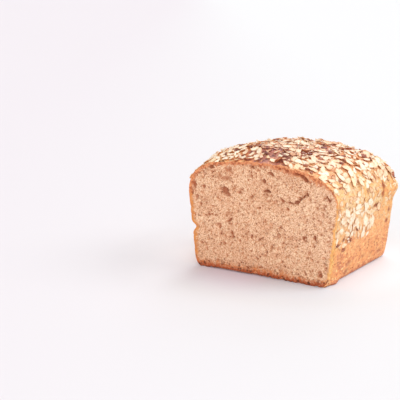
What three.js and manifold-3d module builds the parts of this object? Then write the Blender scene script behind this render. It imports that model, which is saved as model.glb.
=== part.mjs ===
// The remaining half of a tin-baked oat and millet loaf, cut straight across, with rolled oat
// flakes baked onto its crown and its sides. Millimetres, +Z up. The cut faces -Y, the loaf
// stands on its flat base, and the origin is the middle of that base.
import * as THREE from "three";
import { mergeVertices } from "three/addons/utils/BufferGeometryUtils.js";
import Module from "manifold-3d";

const wasm = await Module();
wasm.setup();

// Loaf sizes
const loafLength = 104; // from the cut to the baked end
const cutY = -loafLength / 2;
const baseHalfWidth = 50.6; // where the flat base ends on the left
const rightBaseHalfWidth = 51.6; // and on the right
const footHalfWidth = 55.5; // of the walls, at the foot's height
const footHeight = 7; // of the rounded bottom edge on the left
const rightFootHeight = 12; // and on the right
const footCornerUp = 0.5; // that edge curves towards a corner this far above the base
const leftCornerIn = 0.5; // and this far inside the foot's width, on the left
const rightCornerIn = 1; // and on the right
const rimHalfWidth = 61.5; // at the rim of the tin, the widest place
const rimHeight = 57;
const leftOut = 0.8; // the left wall is this much further out than those widths
const crownAtCut = 84; // height of the crust at the cut
const crownRise = 1.24; // the dome over the rim grows by this factor inside the loaf,
const crownLean = 0.12; // this much more on the left and less on the right,
const riseLength = 26; // over this distance behind the cut,
const crownFall = 0.075; // and from there it falls by this to the baked end, most on the left
const leftFullness = 0.735; // how square each shoulder is: 0.55 is an ellipse, 1 a box
const rightFullness = 0.65;
const endTaper = 0.8; // the baked end leans out by this, from base to rim
const baseRound = 3.5; // rounding between the walls and the baked end, low down,
const wallRound = 9.5; // at the rim
const crownRound = 22.5; // and along the crown
const roundPower = 2.5; // superellipse power of that rounding
const spineHeight = 40; // the rounding turns in towards this height

// Relief of the crust
const lipOut = 2.5; // overhang of the rim at the baked end
const lipWide = 6.5;
const lipFrom = 0.55; // it grows between these shares of the length
const lipTo = 0.95;
const lumpOut = 0.5;
const lumpLength = 13;
const footLip = 2.8; // crust pressed out under the right wall, near the cut
const footLipBehind = 13; // its middle from the cut
const footLipLength = 6;
const footLipHeight = 3.5;
const footLipEdge = 4; // over which it starts from the flat base
const grooveDeep = 3.4; // wrinkle along the left wall
const grooveHeight = 30;
const grooveWide = 2.6;
const grooveLength = 34;
const creaseBehind = 77; // from the cut
const creaseHeight = 58.5; // of its middle
const creaseHigh = 11;
const creaseWide = 3;
const creaseDeep = 2;

// Points of the loaf's mesh: round each ring, on half the base, the rounded edge, the wall and
// half the dome, then the other side, rings along the loaf, and columns across the baked end
const ringParts = [2, 3, 7, 12, 12, 7, 3, 2];
const straightRings = 8;
const ringCloseness = 1.4; // they lie closer together near the cut
const roundRings = 6;
const endColumns = 4;

// Oat flakes
const flakeCount = 180;
const flakeLength = [6.6, 9];
const flakeSlimness = [0.7, 0.86];
const flakeUneven = [0.88, 1.08]; // each corner's distance from the middle
const flakeThick = 1.8;
const flakeTopSize = 0.84; // its upper side by its lower one
const flakeSides = 6;
const flakeTilt = 0.3; // radians
const flakeApart = 6; // least distance between the middles of two flakes
const flakeTries = 4000; // places tried on each side
const tiltChance = 7; // which chance gives a flake's tilt, and from which on its corners'
const cornerChance = 10;

// The flakes that stand out on the right wall, each by its distance behind the cut, height,
// length, width and turn in degrees from lengthwise
const wallFlakes = [
  [13, 58.8, 6, 4.2, 0],
  [30, 58.6, 7, 4.6, 0],
  [35, 62, 7.2, 4.2, 10],
  [26, 52.6, 6, 5.4, 0],
  [35, 53.2, 10.4, 4.8, -5],
  [34.5, 49.4, 8.4, 3.6, 0],
  [15, 52.2, 10, 4.6, -25],
  [9.5, 48, 8.4, 5.4, -15],
  [24.5, 46.5, 10.4, 7.2, -50],
  [36.6, 40.6, 11.2, 6.8, -22],
  [46.8, 51, 10.4, 6.2, -38],
  [54.4, 52.8, 9, 5.8, -10],
  [57, 45.2, 6, 4.4, -20],
  [48.8, 40.4, 9, 5.4, -72],
  [61, 37.6, 9.4, 8, -30],
  [19.2, 36.8, 7.4, 3.8, -20],
  [9.2, 40.8, 6.6, 4.2, -50],
  [5, 38.4, 9, 4.6, -60],
  [48.4, 31.4, 9.4, 4.8, -72],
  [41, 31, 6.4, 5.4, -20],
  [16.8, 28.4, 7.4, 4.4, 10],
  [18, 47.2, 6, 4.4, -20],
  [42.5, 46.2, 6.4, 4.4, -20],
  [63.5, 45.6, 8, 6, -30],
  [70.5, 47.4, 8.4, 6.4, -40],
  [4, 68.6, 8.4, 4.4, -5],
  [57, 71.8, 10, 5.2, 8],
  [76.6, 67.4, 7.2, 5, 15],
  [86.6, 72.8, 9, 6, 10],
  [65.5, 74.6, 8, 5, 10],
  [96, 66, 7, 5, 20],
];

// And on the right of the crown, each by its place across, distance behind the cut, length,
// width and turn in degrees from crosswise
const crownFlakes = [
  [46.5, 5.4, 10, 6.8, 100],
  [36.8, 8.4, 8.4, 5.2, 20],
  [28.4, 13.2, 9, 3.6, -10],
  [31.6, 22, 11, 7, -30],
  [41.8, 21.6, 8.2, 5.2, 10],
  [48, 24.6, 7, 6.6, 0],
  [43.8, 34, 9.6, 5.4, 118],
  [48.2, 38, 8, 6, 90],
  [54.6, 25, 7.6, 5.4, 80],
  [57, 17.4, 9, 4.6, 90],
  [50.8, 8.6, 6.4, 4.4, 60],
  [57.2, 2.8, 6.6, 4.2, 80],
  [19.6, 13.6, 9, 6, 120],
  [17.6, 5, 8, 4.6, -30],
  [5, 25, 7, 5, 20],
  [12, 20, 7, 4, 10],
  [3, 35, 8, 6, 110],
  [15, 28, 7.6, 5, 120],
  [22, 37, 8, 6, 110],
  [33.6, 33.6, 9, 4.6, 120],
  [46, 63, 9, 7.6, 80],
  [38, 61.6, 7, 5, 100],
  [33.6, 70, 9, 5, 110],
  [41.6, 77.4, 7, 4.6, 90],
  [41.6, 85.4, 8.4, 6, 110],
  [47, 76.4, 7.6, 5, 80],
  [52.2, 73, 9.4, 5.4, 95],
  [54.2, 84, 7, 5, 80],
  [47.2, 55, 7, 5.4, 60],
  [54.6, 55, 6, 4.6, 80],
  [39.6, 95, 8, 5, 100],
  [52.6, 92, 8, 5, 90],
];

// Where the other flakes lie: their share on each side, and the heights between which they
// were strewn on
const topShare = 0.62;
const leftShare = 0.17;
const leftHeights = [62, 86];
const endShare = 0.21;
const endHeights = [62, 82];
const shoulderHeights = [64, 80]; // from none to all covered, on the walls' shoulders
const crownEdge = 12; // over which the crown's flakes get fewer towards its sides
const thinFrom = 30; // and on its right they lie thinner from here
const thinTo = 52; // to here,
const thinning = 0.62; // by this share
const bareByCut = 2.5; // no flake lies this near the cut,
const bareLeft = 9; // and this much farther from it on the left,
const bareLeftFrom = 16;
const bareLeftTo = 50;

// Bare patches of the crown, each across, behind the cut, and its reach both ways
const barePatches = [
  [2, 8, 9, 10],
  [49, 16, 7, 7],
  [33, 3, 10, 4],
  [55, 40, 7, 13],
];

// Large holes of the crumb, each across, height, length, width and turn in degrees
const largeHoles = [
  [-30, 60, 8, 6, 60],
  [-42.5, 77, 6, 3, 5],
  [-28, 76, 7, 4.5, 0],
  [-30, 69.5, 9, 3.4, 8],
  [5, 63.7, 7, 3, 8],
  [8, 77, 5, 3.2, -25],
  [-26.7, 38.5, 6, 3, 38],
  [-24.5, 27.8, 5, 4, 70],
  [29, 58.6, 9, 2.6, 22],
  [36.5, 65, 5, 3, -45],
  [34.3, 77, 9, 2.6, -28],
  [53, 64, 5.4, 2.4, -58],
  [44, 34.8, 6, 2.4, -75],
  [48.5, 9, 4.4, 3.4, 20],
];
const holeDeep = 2.6; // of a hole at least this wide, and a narrower one is shallower
const deepHoleWidth = 3;
const roundHoleLength = 7; // from here on a hole gets more faces
const smallHoles = 38;
const smallHoleLength = [2.2, 4];
const smallHoleSlimness = [0.5, 0.9];
const holeMargin = 7; // clear of the crust

const lerp = THREE.MathUtils.lerp;
const smooth = THREE.MathUtils.smoothstep;

// A fixed number from 0 to 1 for each index and purpose.
function chance(index, purpose) {
  const value = Math.sin(index * 12.9898 + purpose * 78.233) * 43758.5453;
  return value - Math.floor(value);
}

// The index-th place of an even scatter over the unit square, by the plastic number.
function evenPlace(index) {
  const plastic = 1.32471795724;
  return [(0.5 + index / plastic) % 1, (0.5 + index / plastic ** 2) % 1];
}

// A hill of height 1 that falls off over a width.
function bell(distance, width) {
  return Math.exp(-((distance / width) ** 2));
}

// The outline of the cut, round from the middle of the base by the right wall.
function cutOutline() {
  const dome = crownAtCut - rimHeight;
  const path = new THREE.Path();
  const up = (rightFootHeight - footHeight) / (rimHeight - footHeight);
  const rightFootHalfWidth = lerp(footHalfWidth, rimHalfWidth, up);
  path.moveTo(0, 0);
  path.lineTo(rightBaseHalfWidth, 0);
  path.quadraticCurveTo(
    footHalfWidth - rightCornerIn, footCornerUp, rightFootHalfWidth, rightFootHeight,
  );
  path.lineTo(rimHalfWidth, rimHeight);
  path.bezierCurveTo(
    rimHalfWidth, rimHeight + dome * rightFullness,
    rimHalfWidth * rightFullness, crownAtCut, 0, crownAtCut,
  );
  const leftRim = -rimHalfWidth - leftOut;
  path.bezierCurveTo(
    -rimHalfWidth * leftFullness, crownAtCut,
    leftRim, rimHeight + dome * leftFullness, leftRim, rimHeight,
  );
  path.lineTo(-footHalfWidth - leftOut, footHeight);
  path.quadraticCurveTo(leftCornerIn - footHalfWidth, footCornerUp, -baseHalfWidth, 0);
  path.lineTo(0, 0);
  return path;
}

const outline = cutOutline();
const ring = outline.curves.flatMap((curve, part) =>
  curve.getSpacedPoints(ringParts[part]).slice(0, -1));

// How far the rounding of the baked end reaches from an outline point.
function roundingAt(height) {
  const wall = lerp(baseRound, wallRound, smooth(height, 0, rimHeight));
  return lerp(wall, crownRound, smooth(height, rimHeight, crownAtCut));
}

// A point of the outline drawn in towards the baked end. Along is 0 at the cut, 1 where the
// rounding of the baked end starts and 2 where it is done.
function drawnIn(index, along) {
  const p = ring.at(index % ring.length).clone();
  const turn = Math.max(along - 1, 0) * (Math.PI / 2);
  const inward = roundingAt(p.y) * (1 - Math.cos(turn) ** (2 / roundPower));
  const toSpine = new THREE.Vector2(0, spineHeight).sub(p).normalize();
  return p.addScaledVector(toSpine, inward);
}

// How far behind the cut the leaning baked end is at a height.
function endBehind(height) {
  return loafLength - endTaper * (1 - Math.min(height, rimHeight) / rimHeight);
}

// A point of the loaf from its place in the outline, with the crown raised.
function risen(p, behind) {
  const aside = p.x / rimHalfWidth;
  const fall = crownFall * smooth(behind, riseLength, loafLength) * (1 - aside);
  const rise = lerp(1, crownRise - crownLean * aside - fall, smooth(behind, 0, riseLength));
  const z = p.y > rimHeight ? rimHeight + (p.y - rimHeight) * rise : p.y;
  return new THREE.Vector3(p.x, cutY + behind, z);
}

// A point of the loaf before its relief.
function smoothPoint(index, along) {
  const p = drawnIn(index, along);
  const start = ring.at(index % ring.length).y;
  const reach = roundingAt(start);
  const turn = Math.max(along - 1, 0) * (Math.PI / 2);
  const onward = reach * Math.sin(turn) ** (2 / roundPower);
  return risen(p, Math.min(along, 1) * (endBehind(start) - reach) + onward);
}

// How far the crust stands out of the smooth form at a point.
function crustRelief(p) {
  const behind = p.y - cutY;
  const baked = smooth(behind, loafLength * lipFrom, loafLength * lipTo);
  const lip = lipOut * bell(p.z - rimHeight, lipWide) * baked;
  const lumps = lumpOut * Math.sin(p.x / lumpLength + 1) * Math.sin(behind / lumpLength)
    * Math.sin(p.z / lumpLength + behind / lumpLength) * smooth(p.z, 0, footHeight);
  const groove = p.x < 0
    ? grooveDeep * bell(p.z - grooveHeight, grooveWide) * (1 - smooth(behind, 0, grooveLength))
    : 0;
  return lip + lumps - groove;
}

// A point of the crust with its relief, and with the crust pressed out under the right wall.
function crustPoint(index, along) {
  const p = smoothPoint(index, along);
  const edge = smooth(p.x, rightBaseHalfWidth - footLipEdge, rightBaseHalfWidth);
  const pressed = bell(p.y - cutY - footLipBehind, footLipLength) * bell(p.z, footLipHeight) * edge;
  p.x += footLip * pressed;
  if (p.z <= 0) return p;
  const nudge = 0.004;
  const aside = smoothPoint(index + 1, along).sub(smoothPoint(index - 1, along));
  const before = smoothPoint(index, Math.max(along - nudge, 0));
  const onward = smoothPoint(index, Math.min(along + nudge, 2)).sub(before);
  const outward = onward.cross(aside).normalize();
  if (along === 0) outward.setY(0).normalize();
  return p.addScaledVector(outward, crustRelief(p));
}

// A point of the baked end, a share of the way from the right wall to the left one.
function endPoint(index, across) {
  const flat = drawnIn(index, 2).lerp(drawnIn(-index, 2), across);
  const p = risen(flat, endBehind(flat.y));
  p.y += crustRelief(p);
  return p;
}

// A mesh geometry as a solid for joining and cutting.
function solidOf(geometry) {
  const bare = geometry.index ? geometry.toNonIndexed() : geometry.clone();
  bare.deleteAttribute("normal");
  bare.deleteAttribute("uv");
  const merged = mergeVertices(bare, 1e-4);
  return new wasm.Manifold(new wasm.Mesh({
    numProp: 3,
    vertProperties: merged.attributes.position.array,
    triVerts: new Uint32Array(merged.index.array),
  }));
}

// The way back, from a solid to a geometry. Only its largest skin is kept, so that a hollow
// sealed by overlapping flakes is filled and a loose scrap is dropped.
function geometryOf(solid) {
  const mesh = solid.getMesh();
  const corners = mesh.triVerts;
  const skin = Array.from({ length: mesh.numVert }, (_, i) => i);
  const skinOf = (i) => {
    while (skin[i] !== i) {
      skin[i] = skin[skin[i]];
      i = skin[i];
    }
    return i;
  };
  for (let i = 0; i < corners.length; i += 3) {
    skin[skinOf(corners[i + 1])] = skinOf(corners[i]);
    skin[skinOf(corners[i + 2])] = skinOf(corners[i]);
  }
  const sizes = new Map();
  corners.forEach((i) => sizes.set(skinOf(i), (sizes.get(skinOf(i)) ?? 0) + 1));
  const largest = [...sizes].reduce((a, b) => (b[1] > a[1] ? b : a))[0];
  const kept = corners.filter((i) => skinOf(i) === largest);
  const geometry = new THREE.BufferGeometry();
  geometry.setAttribute("position", new THREE.BufferAttribute(mesh.vertProperties, mesh.numProp));
  geometry.setIndex(new THREE.BufferAttribute(kept, 1));
  geometry.computeVertexNormals();
  return geometry;
}

// The bare loaf: rings round its outline from the cut to the baked end, rows over the baked
// end, and the flat cut.
function loafGeometry() {
  const stations = [];
  for (let i = 0; i <= straightRings; i++) stations.push((i / straightRings) ** ringCloseness);
  for (let i = 1; i <= roundRings; i++) stations.push(1 + i / roundRings);
  const round = ring.length;
  const rings = stations.map((along) => ring.map((_, i) => crustPoint(i, along)));
  const corners = [];
  rings.slice(1).forEach((farther, k) => {
    const nearer = rings[k];
    for (let i = 0; i < round; i++) {
      const j = (i + 1) % round;
      corners.push(nearer[i], farther[j], nearer[j], nearer[i], farther[i], farther[j]);
    }
  });
  const last = rings.at(-1);
  const rows = [[last[0]]];
  for (let i = 1; i < round / 2; i++) {
    const row = [last[i]];
    for (let k = 1; k < endColumns; k++) row.push(endPoint(i, k / endColumns));
    rows.push([...row, last[round - i]]);
  }
  rows.push([last[round / 2]]);
  rows.slice(1).forEach((upper, k) => {
    const lower = rows[k];
    for (let i = 0; i < endColumns; i++) {
      if (lower.length === 1) corners.push(lower[0], upper[i + 1], upper[i]);
      else if (upper.length === 1) corners.push(lower[i], lower[i + 1], upper[0]);
      else corners.push(lower[i], lower[i + 1], upper[i + 1], lower[i], upper[i + 1], upper[i]);
    }
  });
  const cut = rings[0].map((p) => new THREE.Vector2(p.x, p.z));
  THREE.ShapeUtils.triangulateShape(cut, []).flat().forEach((i) => corners.push(rings[0][i]));
  return new THREE.BufferGeometry().setFromPoints(corners);
}

// An oval pit, to be taken out of the cut face.
function pit(x, z, length, width, turn) {
  const shape = new THREE.IcosahedronGeometry(1, length < roundHoleLength ? 0 : 1);
  shape.scale(length / 2, holeDeep * Math.min(1, width / deepHoleWidth), width / 2);
  shape.rotateY(-turn);
  shape.translate(x, cutY, z);
  return solidOf(shape);
}

function largePits() {
  return largeHoles.map(([x, z, length, width, turn]) =>
    pit(x, z, length, width, THREE.MathUtils.degToRad(turn)));
}

// The scatter of small holes, on the crumb only.
function smallPits() {
  const crust = outline.getSpacedPoints(200);
  const pits = [];
  for (let i = 1; pits.length < smallHoles; i++) {
    const [across, up] = evenPlace(i);
    const x = lerp(-footHalfWidth, footHalfWidth, across);
    const z = lerp(0, crownAtCut, up);
    const inside = crust.every((p) => Math.hypot(p.x - x, p.y - z) > holeMargin);
    const apart = largeHoles.every(([hx, hz, size]) => Math.hypot(hx - x, hz - z) > size);
    if (!inside || !apart) continue;
    const length = lerp(...smallHoleLength, chance(i, 1) ** 2);
    const width = length * lerp(...smallHoleSlimness, chance(i, 2));
    pits.push(pit(x, z, length, width, chance(i, 3) * Math.PI));
  }
  return pits;
}

// The upright crease of the right wall, near the baked end.
function crease() {
  const shape = new THREE.IcosahedronGeometry(1, 1);
  shape.scale(creaseDeep, creaseWide / 2, creaseHigh / 2);
  shape.translate(rimHalfWidth + creaseDeep / 2, cutY + creaseBehind, creaseHeight);
  return solidOf(shape);
}

// A rolled oat: a thin oval plate, wider below, so that its edge slants into the crust.
function flakeGeometry(seed, length, width) {
  const oval = (size, height) => Array.from({ length: flakeSides }, (_, i) => {
    const turn = (i / flakeSides) * Math.PI * 2;
    const reach = (size / 2) * lerp(...flakeUneven, chance(seed, cornerChance + i));
    return new THREE.Vector3(Math.cos(turn) * reach * length, Math.sin(turn) * reach * width, height);
  });
  const top = oval(flakeTopSize, flakeThick / 2);
  const under = oval(1, -flakeThick / 2);
  const corners = [];
  for (let i = 0; i < flakeSides; i++) {
    const j = (i + 1) % flakeSides;
    corners.push(under[i], under[j], top[j], under[i], top[j], top[i]);
    if (i > 0 && j > 0) corners.push(top[0], top[i], top[j], under[0], under[j], under[i]);
  }
  return new THREE.BufferGeometry().setFromPoints(corners);
}

// A flake laid on the crust where a ray hit it, its length turned from a direction ahead.
function laidFlake(seed, length, width, turn, hit, ahead) {
  const flake = flakeGeometry(seed, length, width);
  flake.rotateX(lerp(-flakeTilt, flakeTilt, chance(seed, tiltChance)));
  flake.rotateZ(turn);
  const up = hit.face.normal;
  const onward = ahead.clone().projectOnPlane(up).normalize();
  const aside = new THREE.Vector3().crossVectors(up, onward);
  const place = new THREE.Matrix4().makeBasis(onward, aside, up).setPosition(hit.point);
  return solidOf(flake.applyMatrix4(place));
}

// The share of the crust that flakes cover, on each side from which they were strewn on.
function topCover(p) {
  const behind = p.y - cutY;
  const bare = barePatches.map(([x, middle, wide, long]) =>
    bell(p.x - x, wide) * bell(behind - middle, long));
  const strip = bareByCut + bareLeft * smooth(-p.x, bareLeftFrom, bareLeftTo);
  const thin = 1 - thinning * smooth(p.x, thinFrom, thinTo);
  const edge = smooth(rimHalfWidth - Math.abs(p.x), 0, crownEdge);
  return behind < strip ? 0 : edge * thin - Math.max(...bare);
}

function shoulderCover(p) {
  return smooth(p.z, ...shoulderHeights);
}

// The sides from which flakes were strewn on: from where each flew, which way, and the cover.
const outside = 2 * loafLength;
const down = new THREE.Vector3(0, 0, -1);
const lengthwise = new THREE.Vector3(0, 1, 0);
const crosswise = new THREE.Vector3(1, 0, 0);
const between = (half, share) => lerp(-half, half, share);
const strewn = [
  {
    share: topShare,
    from: (a, b) => new THREE.Vector3(between(rimHalfWidth, a), between(loafLength / 2, b), outside),
    toward: down,
    cover: topCover,
  },
  {
    share: leftShare,
    from: (a, b) => new THREE.Vector3(-outside, between(loafLength / 2, a), lerp(...leftHeights, b)),
    toward: crosswise,
    cover: shoulderCover,
  },
  {
    share: endShare,
    from: (a, b) => new THREE.Vector3(between(rimHalfWidth, a), outside, lerp(...endHeights, b)),
    toward: lengthwise.clone().negate(),
    cover: shoulderCover,
  },
];

// All flakes: those with a place of their own, then each side's share of the others.
function flakeSolids(loaf) {
  const ray = new THREE.Raycaster();
  const hitFrom = (from, toward) => {
    ray.set(from, toward);
    return ray.intersectObject(loaf)[0];
  };
  const solids = [];
  const taken = [];
  const lay = (seed, length, width, turn, hit, ahead) => {
    taken.push(hit.point);
    solids.push(laidFlake(seed, length, width, turn, hit, ahead));
  };
  wallFlakes.forEach(([behind, height, length, width, turn], i) => {
    const hit = hitFrom(new THREE.Vector3(outside, cutY + behind, height), crosswise.clone().negate());
    lay(i, length, width, THREE.MathUtils.degToRad(turn), hit, lengthwise);
  });
  crownFlakes.forEach(([across, behind, length, width, turn], i) => {
    const hit = hitFrom(new THREE.Vector3(across, cutY + behind, outside), down);
    lay(i + wallFlakes.length, length, width, THREE.MathUtils.degToRad(turn), hit, crosswise);
  });
  const others = flakeCount - solids.length;
  strewn.forEach((side, number) => {
    const wanted = solids.length + Math.round(others * side.share);
    for (let i = 1; i < flakeTries && solids.length < wanted; i++) {
      const seed = i + (number + 1) * flakeTries;
      const hit = hitFrom(side.from(chance(seed, 2), chance(seed, 3)), side.toward);
      if (!hit || chance(seed, 4) > side.cover(hit.point)) continue;
      if (taken.some((place) => place.distanceTo(hit.point) < flakeApart)) continue;
      const length = lerp(...flakeLength, chance(seed, 5));
      const width = length * lerp(...flakeSlimness, chance(seed, 6));
      const ahead = number === 0 ? crosswise : down;
      lay(seed, length, width, chance(seed, 8) * Math.PI * 2, hit, ahead);
    }
  });
  return solids;
}

// The loaf, holed and flaked, with what its flakes stuck out past the cut taken off.
function loafSolid() {
  const bare = loafGeometry();
  const target = new THREE.Mesh(bare, new THREE.MeshBasicMaterial({ side: THREE.DoubleSide }));
  const crumb = solidOf(bare).subtract(wasm.Manifold.union([...largePits(), ...smallPits(), crease()]));
  const flaked = wasm.Manifold.union([crumb, ...flakeSolids(target)]);
  const knife = new THREE.BoxGeometry(outside, outside, outside);
  knife.translate(0, cutY - outside / 2, 0);
  return flaked.subtract(solidOf(knife));
}

const loaf = new THREE.Mesh(
  geometryOf(loafSolid()),
  new THREE.MeshStandardMaterial({ color: 0xd9a06c, roughness: 0.85, metalness: 0 }),
);
loaf.name = "loaf";
const group = new THREE.Group();
group.add(loaf);
export default group;
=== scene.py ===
import math

import bmesh
import bpy
import numpy as np
from mathutils import Matrix, Vector, noise
from mathutils.bvhtree import BVHTree


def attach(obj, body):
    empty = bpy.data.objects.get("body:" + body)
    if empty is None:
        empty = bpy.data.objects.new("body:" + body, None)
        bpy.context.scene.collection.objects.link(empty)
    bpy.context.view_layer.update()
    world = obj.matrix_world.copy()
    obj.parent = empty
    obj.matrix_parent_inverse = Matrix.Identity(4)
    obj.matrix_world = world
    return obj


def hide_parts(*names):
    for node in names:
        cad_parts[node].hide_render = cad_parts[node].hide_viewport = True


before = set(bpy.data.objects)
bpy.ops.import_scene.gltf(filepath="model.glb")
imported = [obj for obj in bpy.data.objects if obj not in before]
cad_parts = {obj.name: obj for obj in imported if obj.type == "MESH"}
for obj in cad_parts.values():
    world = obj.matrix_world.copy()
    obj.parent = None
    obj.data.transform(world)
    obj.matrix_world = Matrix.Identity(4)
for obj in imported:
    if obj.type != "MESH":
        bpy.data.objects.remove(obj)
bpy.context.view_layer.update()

MM = 0.001

# Loaf sizes
LENGTH = 104
CUT = -LENGTH / 2
BASE = 50.6  # half the width of the flat base, on the left
RIGHT_BASE = 51.6
FOOT = 55.5  # half the width of the walls at the foot
FOOT_HEIGHT = 7
RIGHT_FOOT_HEIGHT = 12
FOOT_CORNER_UP = 0.5
LEFT_CORNER_IN = 0.5
RIGHT_CORNER_IN = 1
RIM = 61.5  # half the width at the tin's rim
RIM_HEIGHT = 57
LEFT_OUT = 0.8  # the left wall is this much further out
CROWN = 84  # height of the crust at the cut
CROWN_RISE = 1.24
CROWN_LEAN = 0.12
CROWN_FALL = 0.075
RISE_LENGTH = 26
LEFT_FULLNESS = 0.735
RIGHT_FULLNESS = 0.65
END_TAPER = 0.8
BASE_ROUND = 3.5
WALL_ROUND = 9.5
CROWN_ROUND = 22.5
ROUND_POWER = 2.5
SPINE = 40

CURVE_STEPS = 400
# Points on half the base, the rounded edge, the wall and half the dome, then the other side
OUTLINE_PARTS = [42, 8, 46, 80, 80, 46, 8, 42]
STRAIGHT_RINGS = 80
ROUND_RINGS = 24
# Of the grid that fills a ring: its corner on the right foot, and its points across the base
FILL_CORNER = 46
FILL_SPAN = 92

# Relief of the crust
LIP_OUT = 2.5
LIP_WIDE = 6.5
LIP_FROM = 0.55
LIP_TO = 0.95
LUMP_OUT = 0.5
LUMP_LENGTH = 13
FOOT_LIP = 2.8
FOOT_LIP_BEHIND = 13
FOOT_LIP_LENGTH = 6
BASE_HOLLOW = 1.1
CUT_RAGGED = 5
WALL_RAGGED = 3.4
WRINKLE_DEEP = 0.55
PIT_DEEP = 0.55
GROOVE_DEEP = 3.4
GROOVE_HEIGHT = 30
GROOVE_WIDE = 2.6
GROOVE_LENGTH = 34
CREASE_BEHIND = 77
CREASE_HEIGHT = 58.5
CREASE_HIGH = 4.4
CREASE_WIDE = 1.3
CREASE_DEEP = 2.4
CRUST_EDGE_ANGLE = 55

# Thickness of the crust round the crumb
BASE_RIND = 3.8
WALL_RIND = 1.1
LEFT_RIND = 3
RIGHT_RIND = 1.6
TOP_RIND = 2.4
TOP_RIND_MORE = 1.8  # on the right half of the crown

# Holes of the crumb, each across, height, length, width, turn in degrees and depth
HOLES = [
    (-31, 60.5, 6.4, 5.4, 60, 2.4), (-28.2, 58, 4.6, 4, 0, 1.8), (-42.5, 77.2, 6.4, 2.4, 5, 2.2),
    (-41.5, 73.8, 4, 2, 0, 1), (-28, 76.6, 7.5, 5, 0, 1.2), (-30.5, 69.6, 11, 4, 8, 1.1),
    (-49.2, 61.6, 3, 3, 0, 1.6), (-57.6, 62, 3.4, 8, 12, 1.6), (-55.8, 53, 2.4, 5, 0, 1.4),
    (-59.6, 56, 1.6, 5, 0, 1.2), (-58.4, 69, 2, 3, 30, 1), (2.3, 71.4, 2.8, 3.6, 0, 1.8),
    (7.8, 77, 5.6, 3.2, -22, 2), (5, 63.9, 6.4, 2.6, 6, 2.4), (17.2, 58.6, 5.2, 2.6, -42, 1.6),
    (12, 57.4, 3.4, 2.6, 0, 1), (24, 57.7, 5.6, 2, -4, 1.8), (28.4, 58.4, 5, 2.1, 22, 2.4),
    (31.6, 60.8, 5, 2, 46, 2.2), (34.4, 63.6, 4, 1.8, 46, 1.8), (36.9, 65.4, 4.4, 2.2, -40, 2.2),
    (34.3, 76.4, 9.5, 3.4, -30, 2.4), (29, 78.6, 5, 2, -18, 1.4), (-7.6, 80, 5.6, 2.2, 6, 1.6),
    (-2.4, 78.2, 4.4, 1.8, 0, 0.9), (14.4, 81.2, 3, 1.8, 0, 1.4), (20.6, 80.6, 4, 2, -12, 1.4),
    (53, 63.8, 2.6, 5.6, 24, 2.4), (-26.7, 38.4, 6, 2.8, 36, 1.8), (-27.8, 43.4, 6, 3.6, -12, 0.8),
    (-35, 33.4, 3.8, 5.6, 0, 1.1), (-24.6, 28.8, 3, 5.4, 10, 1.7), (-23.6, 26.6, 5, 2.6, 12, 1.7),
    (-7.8, 28.7, 1.9, 3.8, 0, 1.6), (-4.2, 29.4, 2, 2.6, 0, 1.2), (-1, 27.6, 4.2, 1.5, 32, 1.5),
    (-46.5, 14.2, 2.8, 3.6, 0, 1.2), (-44.7, 4.6, 2.4, 2, 0, 1.4),
    (-10.9, 4.9, 4.8, 1.5, -30, 1.6), (-5, 4.1, 1.8, 1.6, 0, 1.6),
    (14.7, 34.3, 3.2, 1.8, -14, 1.6), (9.1, 22.2, 3, 2, 18, 1.2), (44, 34.6, 1.9, 6, 14, 2.2),
    (34.6, 33.2, 2.2, 3.2, -30, 1.8), (43.4, 28.6, 2, 1.8, 0, 1.4), (48.8, 8.6, 3.8, 3.4, 35, 1.9),
    (36, 45.5, 3.4, 3, 0, 0.8), (-20, 46, 3.6, 2, 20, 0.9), (-41, 47.6, 3, 1.8, -20, 1.1),
    (22, 44, 2.6, 2, 0, 0.9), (41.6, 19, 2.6, 1.6, 30, 1.1), (27, 14.6, 3, 2, -20, 1),
    (-15, 15, 3, 1.8, 10, 1), (-34, 20.4, 2.6, 1.8, 30, 1.1),
]
SMALL_HOLES = 2000
SMALL_HOLE_LENGTH = (1.0, 3.8)
HOLE_REACH = 8  # no hole is wider than this on either side of its middle

# Brown marks on the right wall, partly the crust's own and partly painted shadows of flakes and
# of the crease: behind the cut, height, how wide and how high, strength
MARKS_AND_SHADOWS = [
    (76.4, 61.4, 1.5, 1.9, 1.4), (75.4, 56.4, 1.5, 1.9, 1.4), (76, 58.8, 1.2, 2.6, 0.8),
    (33.6, 70, 1.7, 0.9, 0.8), (61.6, 68.4, 1.4, 1.2, 0.8), (67.6, 69, 0.9, 2, 0.6),
    (86, 66, 1.5, 1.8, 0.6), (64.6, 48.8, 3, 0.6, 0.7), (92.6, 40.4, 1.2, 1.6, 0.5),
    (92, 31.6, 1.5, 1.4, 0.6), (5.6, 30.6, 1.6, 0.9, 1), (17.6, 24.8, 2, 0.9, 0.8),
    (16, 32.6, 1.6, 0.9, 0.5), (22.6, 32, 1.5, 1.5, 0.7), (27, 30, 1.5, 1.2, 0.7),
    (38, 36, 2.4, 0.8, 0.9), (2, 56, 1.2, 1.6, 0.6), (44, 69.6, 1.4, 0.8, 0.6),
    (18, 55, 1.2, 0.8, 0.5), (97.6, 69, 2, 2, 0.6), (11, 40, 1.4, 0.7, 0.5), (64, 36, 1, 2, 0.35),
    (29, 6, 2.4, 1.2, 0.5), (86, 8.6, 3, 1.2, 0.4), (56, 11, 3, 1, 0.3), (71, 10, 2, 0.8, 0.3),
    (31, 12, 3, 1.6, 0.3), (53, 31.5, 1.4, 0.7, 0.5),
]

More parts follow.
